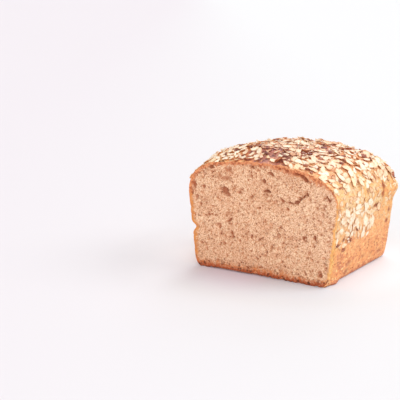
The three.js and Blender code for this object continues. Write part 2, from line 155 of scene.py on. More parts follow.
# Oat flakes strewn over the crown, the left wall, the baked end and the right wall: how many
# and how far apart, first those on the crust, then those that lie over them
STREWN = ((150, 6.4), (28, 6.6), (32, 6.6), (8, 7))
STREWN_LATER = ((255, 4.4), (50, 4.2), (52, 4.2), (6, 5))
STREWN_BITS = (640, 60, 60, 24)
AWAY = 2 * LENGTH  # how far off they started
FLAKE_TRIES = 4000
FLAKE_LENGTH = (5.6, 10)
FLAKE_SLIMNESS = (0.48, 0.78)
FLAKE_SIDES = 12
STREWN_HIGH = 8  # millimetres for each unit of a flake pattern's height
CROWN_FLAKE_HIGH = 9
CROWN_FLAKE_SIZE = 1.08
STANDING_FLAKE_HIGH = 6
WALL_FLAKE_HIGH = 4.6
FAINT_FLAKE_HIGH = 3
CHARRED_AND_SHADE_HIGH = 2.4
STEEP_TILT = 0.8  # in radians, of the few flakes that stand up
OAT_EDGE_ANGLE = 48
SHOULDER_HEIGHTS = (64, 80)  # between which their cover grows on the walls
CROWN_EDGE = 12  # over which it grows in from the rim
# From where to where across the crown the cover thins, by how much, and where it ends
THIN_ACROSS = (24, 48)
THINNING = 0.62
BARE_ACROSS = (50, 57)
# Bare patches of the crown: across, behind the cut, how wide and how long
BARE_PATCHES = ((2, 8, 9, 10), (49, 16, 7, 7), (33, 3, 10, 4), (55, 40, 7, 13), (40.5, 3, 3.5, 5),
                (51.5, 4, 3.5, 4), (20, 52, 6, 7), (-30, 27, 5, 5))
BARE_BY_CUT = 2.5  # the bare strip along the cut
BARE_LEFT = 9  # and how much wider it is on the left
WALL_BITS = 90
FAINT_FLAKES = 30
# The middle and the size of the band of oat dust on the right wall, and how much it falls
BAND = {"height": 45, "behind": 30, "high": 14, "long": 30, "fall": 0.15}

# Flakes on the right wall: behind the cut, height, length, width, turn from lengthwise, tone. The
# dark ones, of tone over 0.4, are laid where shadows fall and stand partly for that painted shade
WALL_FLAKES = [
    (13, 58.8, 6, 4.2, 0, 0.2), (30, 58.6, 7, 4.6, 0, 0.1), (35, 62, 7.2, 4.2, 10, 0.1),
    (26, 52.6, 6, 5.4, 0, 0.03), (35, 53.2, 10.4, 4.8, -5, 0), (34.5, 49.4, 8.4, 3.6, 0, 0.02),
    (15, 52.2, 10, 4.6, -25, 0.03), (9.5, 48, 8.4, 5.4, -15, 0.1), (24.5, 46.5, 10.4, 7.2, -50, 0),
    (32.6, 44.2, 5.4, 4.6, -20, 0.02), (36.6, 40.6, 11.2, 6.8, -22, 0.06),
    (46.8, 51, 10.4, 6.2, -38, 0.06), (54.4, 52.8, 9, 5.8, -10, 0.04),
    (57, 45.2, 6, 4.4, -20, 0.03), (48.8, 40.4, 9, 5.4, -72, 0.02), (61, 37.6, 9.4, 8, -30, 0.1),
    (19.2, 36.8, 7.4, 3.8, -20, 0.08), (9.2, 40.8, 6.6, 4.2, -50, 0.12),
    (5, 38.4, 9, 4.6, -60, 0.24), (27.4, 34.6, 5.6, 4.2, 20, 0.1),
    (48.4, 31.4, 9.4, 4.8, -72, 0.04), (41, 31, 6.4, 5.4, -20, 0.26),
    (16.8, 28.4, 7.4, 4.4, 10, 0.2), (10.6, 28.6, 5.4, 4.2, 0, 0.3),
    (56.6, 34, 6.4, 4.4, -60, 0.16), (43.5, 57.6, 6.4, 3.8, -10, 0.2), (5, 61, 7, 4, 0, 0.22),
    (20.5, 61, 6, 4, 40, 0.34), (18, 47.2, 6, 4.4, -20, 0.08), (13, 44.6, 6, 3.6, -25, 0.2),
    (21.5, 40.8, 5.6, 4, -30, 0.14), (29, 39.4, 5, 3.6, -60, 0.1),
    (42.5, 46.2, 6.4, 4.4, -20, 0.14), (33.6, 34.4, 6, 4, -20, 0.22),
    (52.6, 46.4, 5, 3.8, -30, 0.16), (63.5, 45.6, 8, 6, -30, 0.28),
    (70.5, 47.4, 8.4, 6.4, -40, 0.32), (52.5, 36.6, 5, 3.8, -60, 0.16),
    (4, 68.6, 8.4, 4.4, -5, 0.08), (57, 71.8, 10, 5.2, 8, 0.06), (53.6, 68.2, 5.4, 3.4, -20, 0.02),
    (76.6, 67.4, 7.2, 5, 15, 0.14), (86.6, 72.8, 9, 6, 10, 0.12), (41, 70.6, 5, 3.4, 10, 0.3),
    (65.5, 74.6, 8, 5, 10, 0.12), (96, 66, 7, 5, 20, 0.2), (34.4, 69.2, 4.6, 3.6, 30, 0.62),
    (62, 67.6, 5, 4, 0, 0.5), (44, 69.4, 4.4, 3, -20, 0.6), (86, 65.6, 5.4, 3.6, 70, 0.5),
    (49, 61.8, 4.6, 2.8, -30, 0.5), (38.8, 35.6, 4.6, 2.4, 10, 0.8), (6, 30.4, 4.4, 3, 0, 0.85),
    (17.4, 24.6, 5.2, 2.8, 10, 0.7), (23, 31.8, 4, 3, 40, 0.7), (27.6, 29.8, 3.8, 3, 30, 0.65),
    (18, 44.2, 4, 2.4, -40, 0.6), (53.4, 31, 3.6, 2.4, -20, 0.55), (16, 32.4, 3.6, 2.6, 0, 0.6),
    (12, 16, 3.4, 2.4, 0, 0.5),
]

# Flakes on the crown: across, behind the cut, length, width, turn from crosswise, tone
CROWN_FLAKES = [
    (46.5, 5.4, 10, 6.8, 100, 0.08), (36.8, 8.4, 8.4, 5.2, 20, 0.06),
    (28.4, 13.2, 9, 3.6, -10, 0.04), (31.6, 22, 11, 7, -30, 0.02), (25, 23, 6.4, 4.6, 0, 0.2),
    (30.4, 17, 7, 4.4, 0, 0.06), (38, 18.2, 6.6, 4.8, 20, 0.12), (41.8, 21.6, 8.2, 5.2, 10, 0.04),
    (48, 24.6, 7, 6.6, 0, 0.2), (48, 28.4, 5, 3.6, 0, 0), (43.8, 34, 9.6, 5.4, 118, 0.06),
    (48.2, 38, 8, 6, 90, 0.14), (54.6, 25, 7.6, 5.4, 80, 0.14), (57, 17.4, 9, 4.6, 90, 0.04),
    (50.8, 8.6, 6.4, 4.4, 60, 0.12), (54.6, 6.8, 6, 4.8, 40, 0.12),
    (57.2, 2.8, 6.6, 4.2, 80, 0.04), (19.6, 13.6, 9, 6, 120, 0.06), (13, 10, 6.4, 4.4, 0, 0.3),
    (17.6, 5, 8, 4.6, -30, 0.12), (22.2, 2.6, 7, 4.2, -30, 0.06), (5, 25, 7, 5, 20, 0.1),
    (12, 20, 7, 4, 10, 0.06), (3, 35, 8, 6, 110, 0.1), (15, 28, 7.6, 5, 120, 0.02),
    (22, 37, 8, 6, 110, 0.04), (27.4, 26, 7, 4.6, 110, 0.02), (33.6, 33.6, 9, 4.6, 120, 0.02),
    (38.6, 31, 6, 4, 60, 0.2), (34, 12.2, 6, 3.2, 60, 0.3), (46, 63, 9, 7.6, 80, 0.08),
    (38, 61.6, 7, 5, 100, 0.08), (33.6, 70, 9, 5, 110, 0.04), (35, 76.4, 8, 4.6, 110, 0.02),
    (41.6, 77.4, 7, 4.6, 90, 0.02), (41.6, 85.4, 8.4, 6, 110, 0.06), (47, 76.4, 7.6, 5, 80, 0.08),
    (52.2, 73, 9.4, 5.4, 95, 0.08), (54.2, 84, 7, 5, 80, 0.1), (47.2, 55, 7, 5.4, 60, 0.08),
    (54.6, 55, 6, 4.6, 80, 0.12), (57, 60, 6.6, 4.4, 90, 0.12), (44.6, 50, 7, 5, 20, 0.1),
    (39.6, 95, 8, 5, 100, 0.2), (52.6, 92, 8, 5, 90, 0.16), (53, 66.4, 6, 4.6, 60, 0.14),
    (-13, 5.5, 6.5, 4.4, 10, 0.06), (-9.5, 9.5, 6, 4.2, 50, 0.1), (-14.5, 11, 6.4, 4.4, 80, 0.16),
    (-8, 14, 6, 4, 20, 0.04), (-11.5, 17, 6.4, 4.4, 100, 0.1), (-5.5, 4.2, 5, 3.4, 0, 0.14),
    (-51.5, 11.8, 6, 4.4, 60, 0.1), (-54.6, 14, 6, 4, 70, 0.14), (-47.5, 8.6, 5.4, 4, 20, 0.08),
    (-44.6, 10.4, 6, 4.6, 100, 0.04), (-41.6, 8.2, 6, 4, 0, 0.02), (-40.6, 13.6, 5.4, 4, 60, 0.12),
    (-37.6, 10.4, 6, 4.4, 20, 0.05), (-36.4, 16.4, 6.4, 4.4, 110, 0.1),
    (-33, 12, 5, 3.6, 40, 0.16), (-30, 8.3, 7, 5, 0, 0.05), (-28.4, 14.4, 6, 4, 80, 0),
    (-33.6, 22, 7, 5, 90, 0.1), (-25.4, 17.6, 7, 4.6, 30, 0.12), (-24.6, 9, 6.4, 4.8, 10, 0.06),
    (-21, 13, 5, 4, 60, 0.2), (-18.6, 6.6, 6, 4, 0, 0.1), (-17, 19.6, 7, 5, 60, 0.08),
    (-47, 16, 6, 4.4, 80, 0.1), (-42.4, 20, 6, 4, 90, 0.12), (-27.6, 4.6, 5, 3.6, 10, 0.2),
    (-23.8, 23.6, 6, 4.4, 20, 0.1),
]

# Flakes that stand out of the right shoulder: across, behind the cut, length, width, turn from
# upright, tone
STANDING_FLAKES = [
    (57.4, 74.6, 9, 6, -8, 0.3), (58.6, 83.3, 8, 5, 10, 0.2), (56, 83.6, 6, 5, 30, 0.12),
    (52.4, 73.9, 7, 5, 60, 0.14), (43.3, 82.8, 8, 6, 70, 0.16), (56.6, 57.5, 7, 4.4, 10, 0.16),
    (51.6, 27.2, 6, 4.4, -20, 0.1), (58.2, 17.6, 7, 5, 10, 0.08), (50.6, 12.4, 5, 3.4, 20, 0.5),
    (40.5, 88, 7, 5, 80, 0.3), (43, 91, 7, 5, 70, 0.1), (46, 95, 7, 5, 60, 0.14),
    (38.4, 87, 4, 3, 60, 0.75), (51, 96, 7, 5, 40, 0.1), (55.6, 97, 7, 4, 30, 0.2),
    (57.4, 99, 6, 4, 10, 0.1), (59, 97.5, 5, 3, 0, 0.7),
]

# Nearly black bits on the crown, a few of them charred oats and most of them painted shade
# between the flakes: across, behind the cut, length
CHARRED_AND_SHADE_BITS = [
    (11.8, 14.6, 5.4), (16, 22.6, 4.6), (20.2, 25.4, 4.4), (23, 30, 6), (9.6, 36.6, 5.6),
    (12, 7, 4.6), (30, 10.4, 3.6), (33.4, 6, 4), (37.4, 4, 3.6), (33, 26.6, 4.4), (42, 27, 3.6),
    (20.4, 57.4, 6), (32, 56.2, 4), (37, 57, 4), (33.6, 49.2, 4), (43, 79, 6), (45.6, 70.6, 4),
    (35, 92, 5), (-4, 14.6, 4.6), (-7.6, 15.6, 4), (-15.6, 15, 5), (-8.2, 23, 4.4),
    (-16.4, 26.6, 4.6), (-21, 21.4, 4.6), (-25, 22, 3.6), (-3.8, 3.6, 3), (-37, 12.6, 3.6),
    (-31, 17, 4.6), (-20, 9.6, 3.4), (41.6, 49.4, 4), (39.4, 60.4, 3.6), (49.4, 66, 4.6),
    (23.6, 79, 5), (28, 52.4, 4.6), (14.6, 68.4, 5.4), (47.4, 83, 3.6), (51.6, 81, 3.6),
    (36.2, 19, 2), (38.6, 13, 2.2), (53.6, 16, 3), (56.8, 10.4, 2.6), (43, 41, 3.6), (-34, 28, 5),
    (-26, 68, 5),
]

# Tones from pale to dark, each its place and its colour as seen on a screen, the ends first
CRUST_TONES = (
    (0.0, 242, 210, 170), (1.0, 112, 60, 54), (0.14, 240, 198, 148), (0.26, 244, 186, 122),
    (0.46, 240, 164, 106), (0.62, 214, 134, 92), (0.74, 198, 126, 108), (0.86, 170, 100, 90),
)
OAT_TONES = (
    (0.0, 250, 239, 221), (1.0, 104, 46, 38), (0.1, 241, 226, 202), (0.25, 240, 217, 186),
    (0.5, 224, 172, 134), (0.75, 172, 96, 74),
)
# The same for the cut edge of the crust, from the base up
EDGE_TONES = (
    (0.0, 132, 60, 36), (1.0, 228, 150, 104), (0.03, 178, 86, 48), (0.06, 214, 130, 76),
    (0.12, 220, 144, 76), (0.6, 224, 146, 82), (0.75, 236, 156, 104),
)
# Specks low on the crust: scale, share of the cells, size, colour
CRUST_SPECKS = (
    (0.4, 0.55, 0.42, 196, 108, 60), (0.56, 0.5, 0.4, 196, 100, 58),
    (0.45, 0.6, 0.46, 255, 214, 152),
)
# Specks in the crumb: scale, share of the cells, size, strength, colour, the last two sunk; these
# two are small holes, painted dark with their shade
CRUMB_SPECKS = (
    (0.42, 0.4, 0.5, 0.55, 255, 222, 184), (0.55, 0.3, 0.3, 0.5, 206, 134, 90),
    (0.72, 0.75, 0.35, 0.7, 168, 92, 56), (0.34, 0.5, 0.31, 0.65, 152, 80, 50),
)
# painted light: a faint warm glow in the finishes lifts their small shadows
WARM_GLOW = (1.0, 0.42, 0.2, 1)  # as of light that comes through the bread into small shadows

# The stage: the far lamps' names, strengths, spreads, colours and directions from the loaf
LAMPS = (
    ("overhead", 0.95, 40, (1.0, 0.985, 0.97), (0, 0.407, 0.914)),
    ("from_right", 1.15, 40, (1.0, 0.985, 0.97), (0.644, 0.372, 0.669)),
    ("front_right", 1.33, 40, (1.0, 0.985, 0.99), (0.476, -0.824, 0.309)),
    ("window", 0.3, 24, (0.86, 0.86, 1.0), (-0.27, 0.82, 0.51)),
)
ROOM_LIGHT = 0.6
FLOOR_SIZE = 60  # metres
LENS = 90
SENSOR = 36
EYE_PLACE = (0.34922, -0.66248, 0.21122)  # metres
EYE_DOWN = 12.375  # degrees below level
EYE_TURN = 33.335  # degrees to the left of looking along the loaf


def lerp(low, high, share):
    return low + (high - low) * share


def smooth(value, low, high):
    share = np.clip((np.asarray(value, float) - low) / (high - low), 0, 1)
    return share * share * (3 - 2 * share)


def bell(distance, width):
    return np.exp(-(np.asarray(distance, float) / width) ** 2)


def chance(index, purpose):
    """A fixed number from 0 to 1 for each index and purpose."""
    value = np.sin(np.asarray(index, float) * 12.9898 + purpose * 78.233) * 43758.5453
    return value - np.floor(value)


def luck(index, purpose, low=0.0, high=1.0):
    """The same for a single index, from low to high."""
    return lerp(low, high, float(chance(index, purpose)))


def spans(p):
    """How far across, behind the cut and up each point is."""
    return p[..., 0], p[..., 1] - CUT, p[..., 2]


def uneven(points, length, shift=0.0):
    """Soft noise of about -1 to 1 at each point, with bumps of the given length."""
    return np.array([noise.noise(Vector(p) / length + Vector((shift, 0, 0))) for p in points])


# ---- Mesh helpers

def points_of(mesh):
    flat = np.empty(len(mesh.vertices) * 3)
    mesh.vertices.foreach_get("co", flat)
    return flat.reshape(-1, 3) / MM


def move_points(mesh, points):
    mesh.vertices.foreach_set("co", (points * MM).ravel())
    mesh.update()


def normals_of(mesh):
    flat = np.empty(len(mesh.vertices) * 3)
    mesh.vertex_normals.foreach_get("vector", flat)
    return flat.reshape(-1, 3)


def note(mesh, name, values):
    """Keeps a value for each point of a mesh."""
    layer = mesh.attributes.get(name) or mesh.attributes.new(name, "FLOAT", "POINT")
    layer.data.foreach_set("value", np.asarray(values, float))


def noted(mesh, name):
    values = np.empty(len(mesh.vertices))
    mesh.attributes[name].data.foreach_get("value", values)
    return values


def pick(mesh, chosen, active=None):
    """Selects the chosen points, and the edges and faces between them, in edit mode."""
    bpy.ops.object.mode_set(mode="EDIT")
    bpy.ops.mesh.select_mode(type="VERT")
    bpy.ops.mesh.select_all(action="DESELECT")
    shape = bmesh.from_edit_mesh(mesh)
    shape.verts.ensure_lookup_table()
    for index in np.flatnonzero(chosen):
        shape.verts[index].select = True
    if active is not None:
        shape.select_history.clear()
        shape.select_history.add(shape.verts[active])
    shape.select_flush(True)
    bmesh.update_edit_mesh(mesh)


def leave_edit():
    bpy.ops.object.mode_set(mode="OBJECT")


def turn_outwards(mesh):
    pick(mesh, np.ones(len(mesh.vertices), bool))
    bpy.ops.mesh.normals_make_consistent(inside=False)
    leave_edit()


# ---- The loaf's body

def curve_points(handles, steps):
    """Evenly spaced points of a Bezier curve, without its last."""
    share = np.linspace(0, 1, CURVE_STEPS)[:, None]
    points = [np.broadcast_to(np.array(h, float), (CURVE_STEPS, 2)) for h in handles]
    while len(points) > 1:
        points = [lerp(a, b, share) for a, b in zip(points, points[1:])]
    line = points[0]
    far = np.r_[0, np.cumsum(np.linalg.norm(np.diff(line, axis=0), axis=1))]
    places = np.linspace(0, far[-1], steps + 1)[:-1]
    return np.stack([np.interp(places, far, line[:, k]) for k in (0, 1)], axis=1)


def cut_outline():
    """The outline of the cut, round from the middle of the base by the right wall."""
    dome = CROWN - RIM_HEIGHT
    foot_up = (RIGHT_FOOT_HEIGHT - FOOT_HEIGHT) / (RIM_HEIGHT - FOOT_HEIGHT)
    right_foot = (lerp(FOOT, RIM, foot_up), RIGHT_FOOT_HEIGHT)
    right_corner = (FOOT - RIGHT_CORNER_IN, FOOT_CORNER_UP)
    left_corner = (-FOOT + LEFT_CORNER_IN, FOOT_CORNER_UP)
    left_foot = (-FOOT - LEFT_OUT, FOOT_HEIGHT)
    right_rim, left_rim = (RIM, RIM_HEIGHT), (-RIM - LEFT_OUT, RIM_HEIGHT)
    right_shoulder = (RIM, RIM_HEIGHT + dome * RIGHT_FULLNESS)
    left_shoulder = (-RIM - LEFT_OUT, RIM_HEIGHT + dome * LEFT_FULLNESS)
    top = (0, CROWN)
    curves = [
        [(0, 0), (RIGHT_BASE, 0)],
        [(RIGHT_BASE, 0), right_corner, right_foot],
        [right_foot, right_rim],
        [right_rim, right_shoulder, (RIM * RIGHT_FULLNESS, CROWN), top],
        [top, (-RIM * LEFT_FULLNESS, CROWN), left_shoulder, left_rim],
        [left_rim, left_foot],
        [left_foot, left_corner, (-BASE, 0)],
        [(-BASE, 0), (0, 0)],
    ]
    return np.concatenate([curve_points(c, n) for c, n in zip(curves, OUTLINE_PARTS)])


def rounding_at(height):
    """How far the rounding of the baked end reaches from an outline point."""
    wall = lerp(BASE_ROUND, WALL_ROUND, smooth(height, 0, RIM_HEIGHT))
    return lerp(wall, CROWN_ROUND, smooth(height, RIM_HEIGHT, CROWN))


def end_behind(height):
    """How far behind the cut the leaning baked end is at a height."""
    return LENGTH - END_TAPER * (1 - np.minimum(height, RIM_HEIGHT) / RIM_HEIGHT)


def bare_form(outline, along):
    """Places outline points along the loaf: 0 at the cut, 1 where the rounding of the baked end
    starts, 2 where it is done."""
    reach = rounding_at(outline[:, 1])
    turn = np.clip(along - 1, 0, 1) * math.pi / 2
    inward = reach * (1 - np.cos(turn) ** (2 / ROUND_POWER))
    onward = reach * np.sin(turn) ** (2 / ROUND_POWER)
    to_spine = np.array([0, SPINE]) - outline
    to_spine /= np.linalg.norm(to_spine, axis=1)[:, None]
    across, height = (outline + to_spine * inward[:, None]).T
    behind = np.minimum(along, 1) * (end_behind(height) - reach) + onward
    fall = CROWN_FALL * smooth(behind, RISE_LENGTH, LENGTH) * (1 - across / RIM)
    rise = CROWN_RISE - CROWN_LEAN * across / RIM - fall
    rise = lerp(1, rise, smooth(behind, 0, RISE_LENGTH))
    up = np.where(height > RIM_HEIGHT, RIM_HEIGHT + (height - RIM_HEIGHT) * rise, height)
    return np.stack([across, CUT + behind, up], axis=1)


def broad_relief(p):
    """How far the crust stands out of the bare form: its lip, lumps, groove and crease."""
    x, behind, z = spans(p)
    baked = smooth(behind, LENGTH * LIP_FROM, LENGTH * LIP_TO)
    lip = LIP_OUT * bell(z - RIM_HEIGHT, LIP_WIDE) * baked * (1 + 0.45 * uneven(p, 16, 71))
    lumps = (LUMP_OUT * np.sin(x / LUMP_LENGTH + 1) * np.sin(behind / LUMP_LENGTH)
             * np.sin(z / LUMP_LENGTH + behind / LUMP_LENGTH) * smooth(z, 0, FOOT_HEIGHT))
    groove = (GROOVE_DEEP * bell(z - GROOVE_HEIGHT, GROOVE_WIDE)
              * (1 - smooth(behind, 0, GROOVE_LENGTH)) * (x < 0))
    crease = (CREASE_DEEP * bell(behind - CREASE_BEHIND, CREASE_WIDE)
              * bell(z - CREASE_HEIGHT, CREASE_HIGH) * (x > RIM / 2))
    return lip + lumps - groove - crease


def fine_relief(p):
    """The small unevenness of the baked crust: wrinkles on the walls, pits, the torn top edge."""
    x, behind, z = spans(p)
    wide = 0.38 * uneven(p, 8) + 0.2 * uneven(p, 2.6, 40)
    wall = smooth(np.abs(x), RIM - 14, RIM - 4) * smooth(z, 26, 48) * (1 - smooth(z, 74, 84))
    drawn = np.stack([x * 0.2, p[:, 1], z * 0.22], axis=1)
    wrinkles = WRINKLE_DEEP * uneven(drawn, 3.4, 7) * wall * smooth(behind, 34, 60)
    pits = -PIT_DEEP * smooth(uneven(p, 3.1, 90), 0.28, 0.55) * smooth(z, 1, 6)
    torn = (0.8 * uneven(p, 5, 33) + 0.5 * uneven(p, 2, 37)) * bell(behind, 3.5)
    torn = torn * smooth(z, 66, 78) * smooth(x, -56, -40)
    return (wide + wrinkles + pits + torn) * smooth(z, 0.4, 5)


def crumb_holes(x, z, holes):
    """How deep the crumb is eaten away at each point of the cut, the deepest hole counting."""
    depth = np.zeros(len(x))
    for across, height, length, width, turn, deep in holes:
        near = (np.abs(x - across) < HOLE_REACH) & (np.abs(z - height) < HOLE_REACH)
        near = np.flatnonzero(near)
        angle = math.radians(turn)
        dx, dz = x[near] - across, z[near] - height
        along = (dx * math.cos(angle) + dz * math.sin(angle)) / (length / 2)
        aside = (dz * math.cos(angle) - dx * math.sin(angle)) / (width / 2)
        within = np.clip(1 - along ** 2 - aside ** 2, 0, 1)
        depth[near] = np.maximum(depth[near], 1.5 * deep * within ** 0.7)
    return depth


def small_holes():
    """The scatter of small holes over the box round the cut."""
    index = np.arange(1, SMALL_HOLES + 1)
    x = lerp(-RIM, RIM, chance(index, 21))
    z = lerp(0, CROWN, chance(index, 22))
    length = lerp(*SMALL_HOLE_LENGTH, chance(index, 23) ** 4.2)
    width = np.maximum(length * lerp(0.4, 0.9, chance(index, 24)), 0.8)
    turn = (chance(index, 25) - 0.5) * 170
    deep = lerp(0.3, 1.4, chance(index, 26) ** 1.2) * np.minimum(1, length / 1.6)
    return np.stack([x, z, length, width, turn, deep], axis=1)


def rind_depth(p, rim):
    """How deep in the crumb each point of the cut lies, by the thickness of the crust there."""
    x, z = p[:, 0], p[:, 2]
    nearest = np.full(len(p), 1e9)
    at = np.zeros(len(p), int)
    for i, (rim_x, rim_z) in enumerate(rim):
        far = np.hypot(x - rim_x, z - rim_z)
        closer = far < nearest
        nearest[closer] = far[closer]
        at[closer] = i
    rim_x, rim_z = rim[at].T
    thick = lerp(BASE_RIND, WALL_RIND, smooth(rim_z, 2, 8))
    left = smooth(-rim_x, RIM - 14, RIM - 4) * smooth(rim_z, 4, 10)
    thick = lerp(thick, LEFT_RIND, left)
    right = smooth(rim_x, RIM - 14, RIM - 8) * smooth(rim_z, 6, 10)
    thick = lerp(thick, RIGHT_RIND, right)
    top = TOP_RIND + TOP_RIND_MORE * smooth(x, 0, 30) * (1 - smooth(x, 44, 54))
    return nearest / lerp(thick, top, smooth(rim_z, 66, 78))


def extruded_rings(outline):
    """The crust without its ends: the cut's outline, extruded along the loaf. It is returned
    with each point's ring, the first of them on the cut, and its place round that."""
    count = len(outline)
    bpy.ops.object.select_all(action="DESELECT")
    bpy.ops.mesh.primitive_circle_add(vertices=count, radius=RIM * MM,
                                      location=(0, CUT * MM, SPINE * MM),
                                      rotation=(math.pi / 2, 0, 0))
    body = bpy.context.object
    body.name = "loaf_body"
    bpy.ops.object.transform_apply(location=True, rotation=True, scale=True)
    mesh = body.data
    move_points(mesh, bare_form(outline, np.zeros(count)))
    note(mesh, "round", np.arange(count))
    pick(mesh, np.ones(count, bool))
    for _ in range(STRAIGHT_RINGS + ROUND_RINGS):
        bpy.ops.mesh.extrude_edges_move(TRANSFORM_OT_translate={"value": (0, MM, 0)})
    leave_edit()
    ring = np.rint(points_of(mesh)[:, 1] - CUT).astype(int)
    place = np.rint(noted(mesh, "round")).astype(int)
    mesh.attributes.remove(mesh.attributes["round"])
    along = np.where(ring <= STRAIGHT_RINGS, ring / STRAIGHT_RINGS,
                     1 + (ring - STRAIGHT_RINGS) / ROUND_RINGS)
    move_points(mesh, bare_form(outline[place], along))
    return body, ring, place


def fill_ring(mesh, ring, place, chosen):
    """Fills a ring with a grid that starts at the ring's corner on the right foot."""
    on_ring = np.zeros(len(mesh.vertices), bool)
    on_ring[:len(ring)] = ring == chosen
    corner = np.flatnonzero((ring == chosen) & (place == FILL_CORNER))[0]
    pick(mesh, on_ring, int(corner))
    bpy.ops.mesh.fill_grid(span=FILL_SPAN, offset=0, use_interp_simple=True)
    leave_edit()


def close_baked_end(mesh, ring, place):
    """Fills the last ring, flat and leaning, and returns the mesh's points."""
    fill_ring(mesh, ring, place, STRAIGHT_RINGS + ROUND_RINGS)
    p = points_of(mesh)
    p[len(ring):, 1] = CUT + end_behind(p[len(ring):, 2])
    move_points(mesh, p)
    turn_outwards(mesh)
    return p


def shape_crust(mesh, p, on_cut):
    """Gives the crust its relief, the crust pressed out under the right wall, and its base the
    hollow and the ragged edge by the cut and on the right."""
    outward = normals_of(mesh)
    outward[on_cut, 1] = 0
    outward /= np.linalg.norm(outward, axis=1)[:, None]
    x, behind, z = spans(p)
    out = broad_relief(p) + fine_relief(p)
    out[z <= 0.01] = 0
    pressed = FOOT_LIP * bell(behind - FOOT_LIP_BEHIND, FOOT_LIP_LENGTH)
    x += pressed * bell(z, FOOT_HEIGHT / 2) * smooth(x, RIGHT_BASE - 4, RIGHT_BASE)
    hollow = BASE_HOLLOW * smooth(BASE - x, 14, 60) * smooth(BASE + x, 0, 16)
    ragged = np.maximum(uneven(p, 3.4, 61) + 0.6 * uneven(p, 1.5, 67) - 0.15, 0)
    rough = CUT_RAGGED * ragged * lerp(1, 0.4, smooth(x, 0, 30))
    z += (hollow + rough) * bell(behind, 4) * bell(z, 4)
    z += WALL_RAGGED * ragged * bell(z, 3) * smooth(x, RIGHT_BASE - 5, RIGHT_BASE)
    p += outward * out[:, None]
    p[:, 2] = np.maximum(z, 0)
    move_points(mesh, p)


def close_cut(mesh, ring, place):
    """Fills the cut with a fine grid. Returns the mesh's points, which of them lie in the cut,
    and the edge of the crust round it."""
    crust_count = len(mesh.vertices)
    fill_ring(mesh, ring, place, 0)
    in_cut = np.zeros(len(mesh.vertices), bool)
    in_cut[crust_count:] = True
    in_cut[:len(ring)] = ring == 0
    pick(mesh, in_cut)
    bpy.ops.mesh.subdivide(number_cuts=1)
    leave_edit()
    p = points_of(mesh)
    rim = p[np.flatnonzero(ring == 0)[np.argsort(place[ring == 0])]][:, [0, 2]]
    return p, np.flatnonzero(np.abs(p[:, 1] - CUT) < 1e-4), rim


def eat_crumb(cut, rind):
    """Sinks the holes and the roughness of the crumb into the cut, and returns the holes."""
    warp_x = 0.9 * uneven(cut, 2.4, 11) + 0.6 * uneven(cut, 6, 13)
    warp_z = 0.9 * uneven(cut, 2.4, 17) + 0.6 * uneven(cut, 6, 19)
    x, z = cut[:, 0] + warp_x, cut[:, 2] + warp_z
    large = crumb_holes(x, z, HOLES)
    small = crumb_holes(x, z, small_holes()) * smooth(rind, 0.5, 1.2)
    hole = np.maximum(large, small)
    rough = 0.16 * uneven(cut, 1.3, 23) + 0.2 * uneven(cut, 3.4, 29)
    inner = smooth(rind, 0.1, 0.6)
    cut[:, 1] += (hole + np.maximum(rough + 0.1, 0)) * inner
    return hole * inner


def loaf_body():
    """The whole body: rings along the crust and a grid over each end, a fine one on the cut."""
    body, ring, place = extruded_rings(cut_outline())
    mesh = body.data
    p = close_baked_end(mesh, ring, place)
    shape_crust(mesh, p, np.flatnonzero(ring == 0))
    p, in_cut, rim = close_cut(mesh, ring, place)
    cut = p[in_cut]
    rind = rind_depth(cut, rim)
    hole = eat_crumb(cut, rind)
    p[in_cut] = cut
    move_points(mesh, p)
    for name, values in (("hole", hole), ("rind", rind)):
        everywhere = np.zeros(len(p))
        everywhere[in_cut] = values
        note(mesh, name, everywhere)
    for name, tone in (("baked", baked_tone), ("floured", floured_tone), ("marks_and_shade", marks_and_shadows_tone),
                       ("yellow", yellow_and_highlight_tone)):
        note(mesh, name, tone(p))
    in_cut = set(in_cut.tolist())
    on_cut = [in_cut.issuperset(face.vertices) for face in mesh.polygons]
    mesh.polygons.foreach_set("material_index", np.array(on_cut, int))
    turn_outwards(mesh)
    bpy.ops.object.shade_smooth_by_angle(angle=math.radians(CRUST_EDGE_ANGLE))
    return body


def baked_tone(p):
    """How dark each point of the crust is baked, from 0, pale, to 1, nearly charred."""
    x, behind, z = spans(p)
    tone = lerp(0.44, 0.3, smooth(z, 18, 40))
    tone = lerp(0.56, tone, smooth(z, 0, 6))
    right = smooth(x, 0, RIM)
    pale = lerp(0.6, 1, bell(behind - 34, 34)) * smooth(z, 36, 54) * (1 - smooth(z, 74, 84))
    tone = tone - 0.16 * right * pale
    # the paler strip beside the cut on the right wall is partly a painted highlight of the lit
    # corner
    tone = lerp(tone, 0.24, right * bell(behind, 5.5) * (1 - smooth(z, 60, 74)) * smooth(z, 0, 4))
    crown = smooth(z, 76, 92) * smooth(RIM - np.abs(x), 4, 26)
    top = 0.74 - 0.34 * smooth(-x, 8, 40) - 0.2 * smooth(x, 20, 44) + 0.16 * uneven(p, 7, 9)
    tone = lerp(tone, top, crown)
    tone = tone - 0.1 * smooth(-x, 24, 44) * smooth(z, 66, 76)
    tone = tone + 0.2 * smooth(x, 34, 46) * bell(z - 79, 6) * lerp(1, 0.5, smooth(behind, 40, 80))
    tone = tone + 0.3 * uneven(p, 5, 35) * bell(behind, 5) * smooth(z, 62, 76)
    tone = tone + 0.22 * bell(x - 2, 16) * bell(behind - 6, 20) * smooth(z, 70, 82)
    tone = tone + 0.1 * bell(z - RIM_HEIGHT, 6) * smooth(behind, 60, 95)
    tone = tone + 0.14 * bell(behind - 15, 8) * bell(z - 13, 8) * right
    return np.clip(tone + 0.05 * uneven(p, 14, 3) + 0.05 * uneven(p, 5, 5), 0, 1)


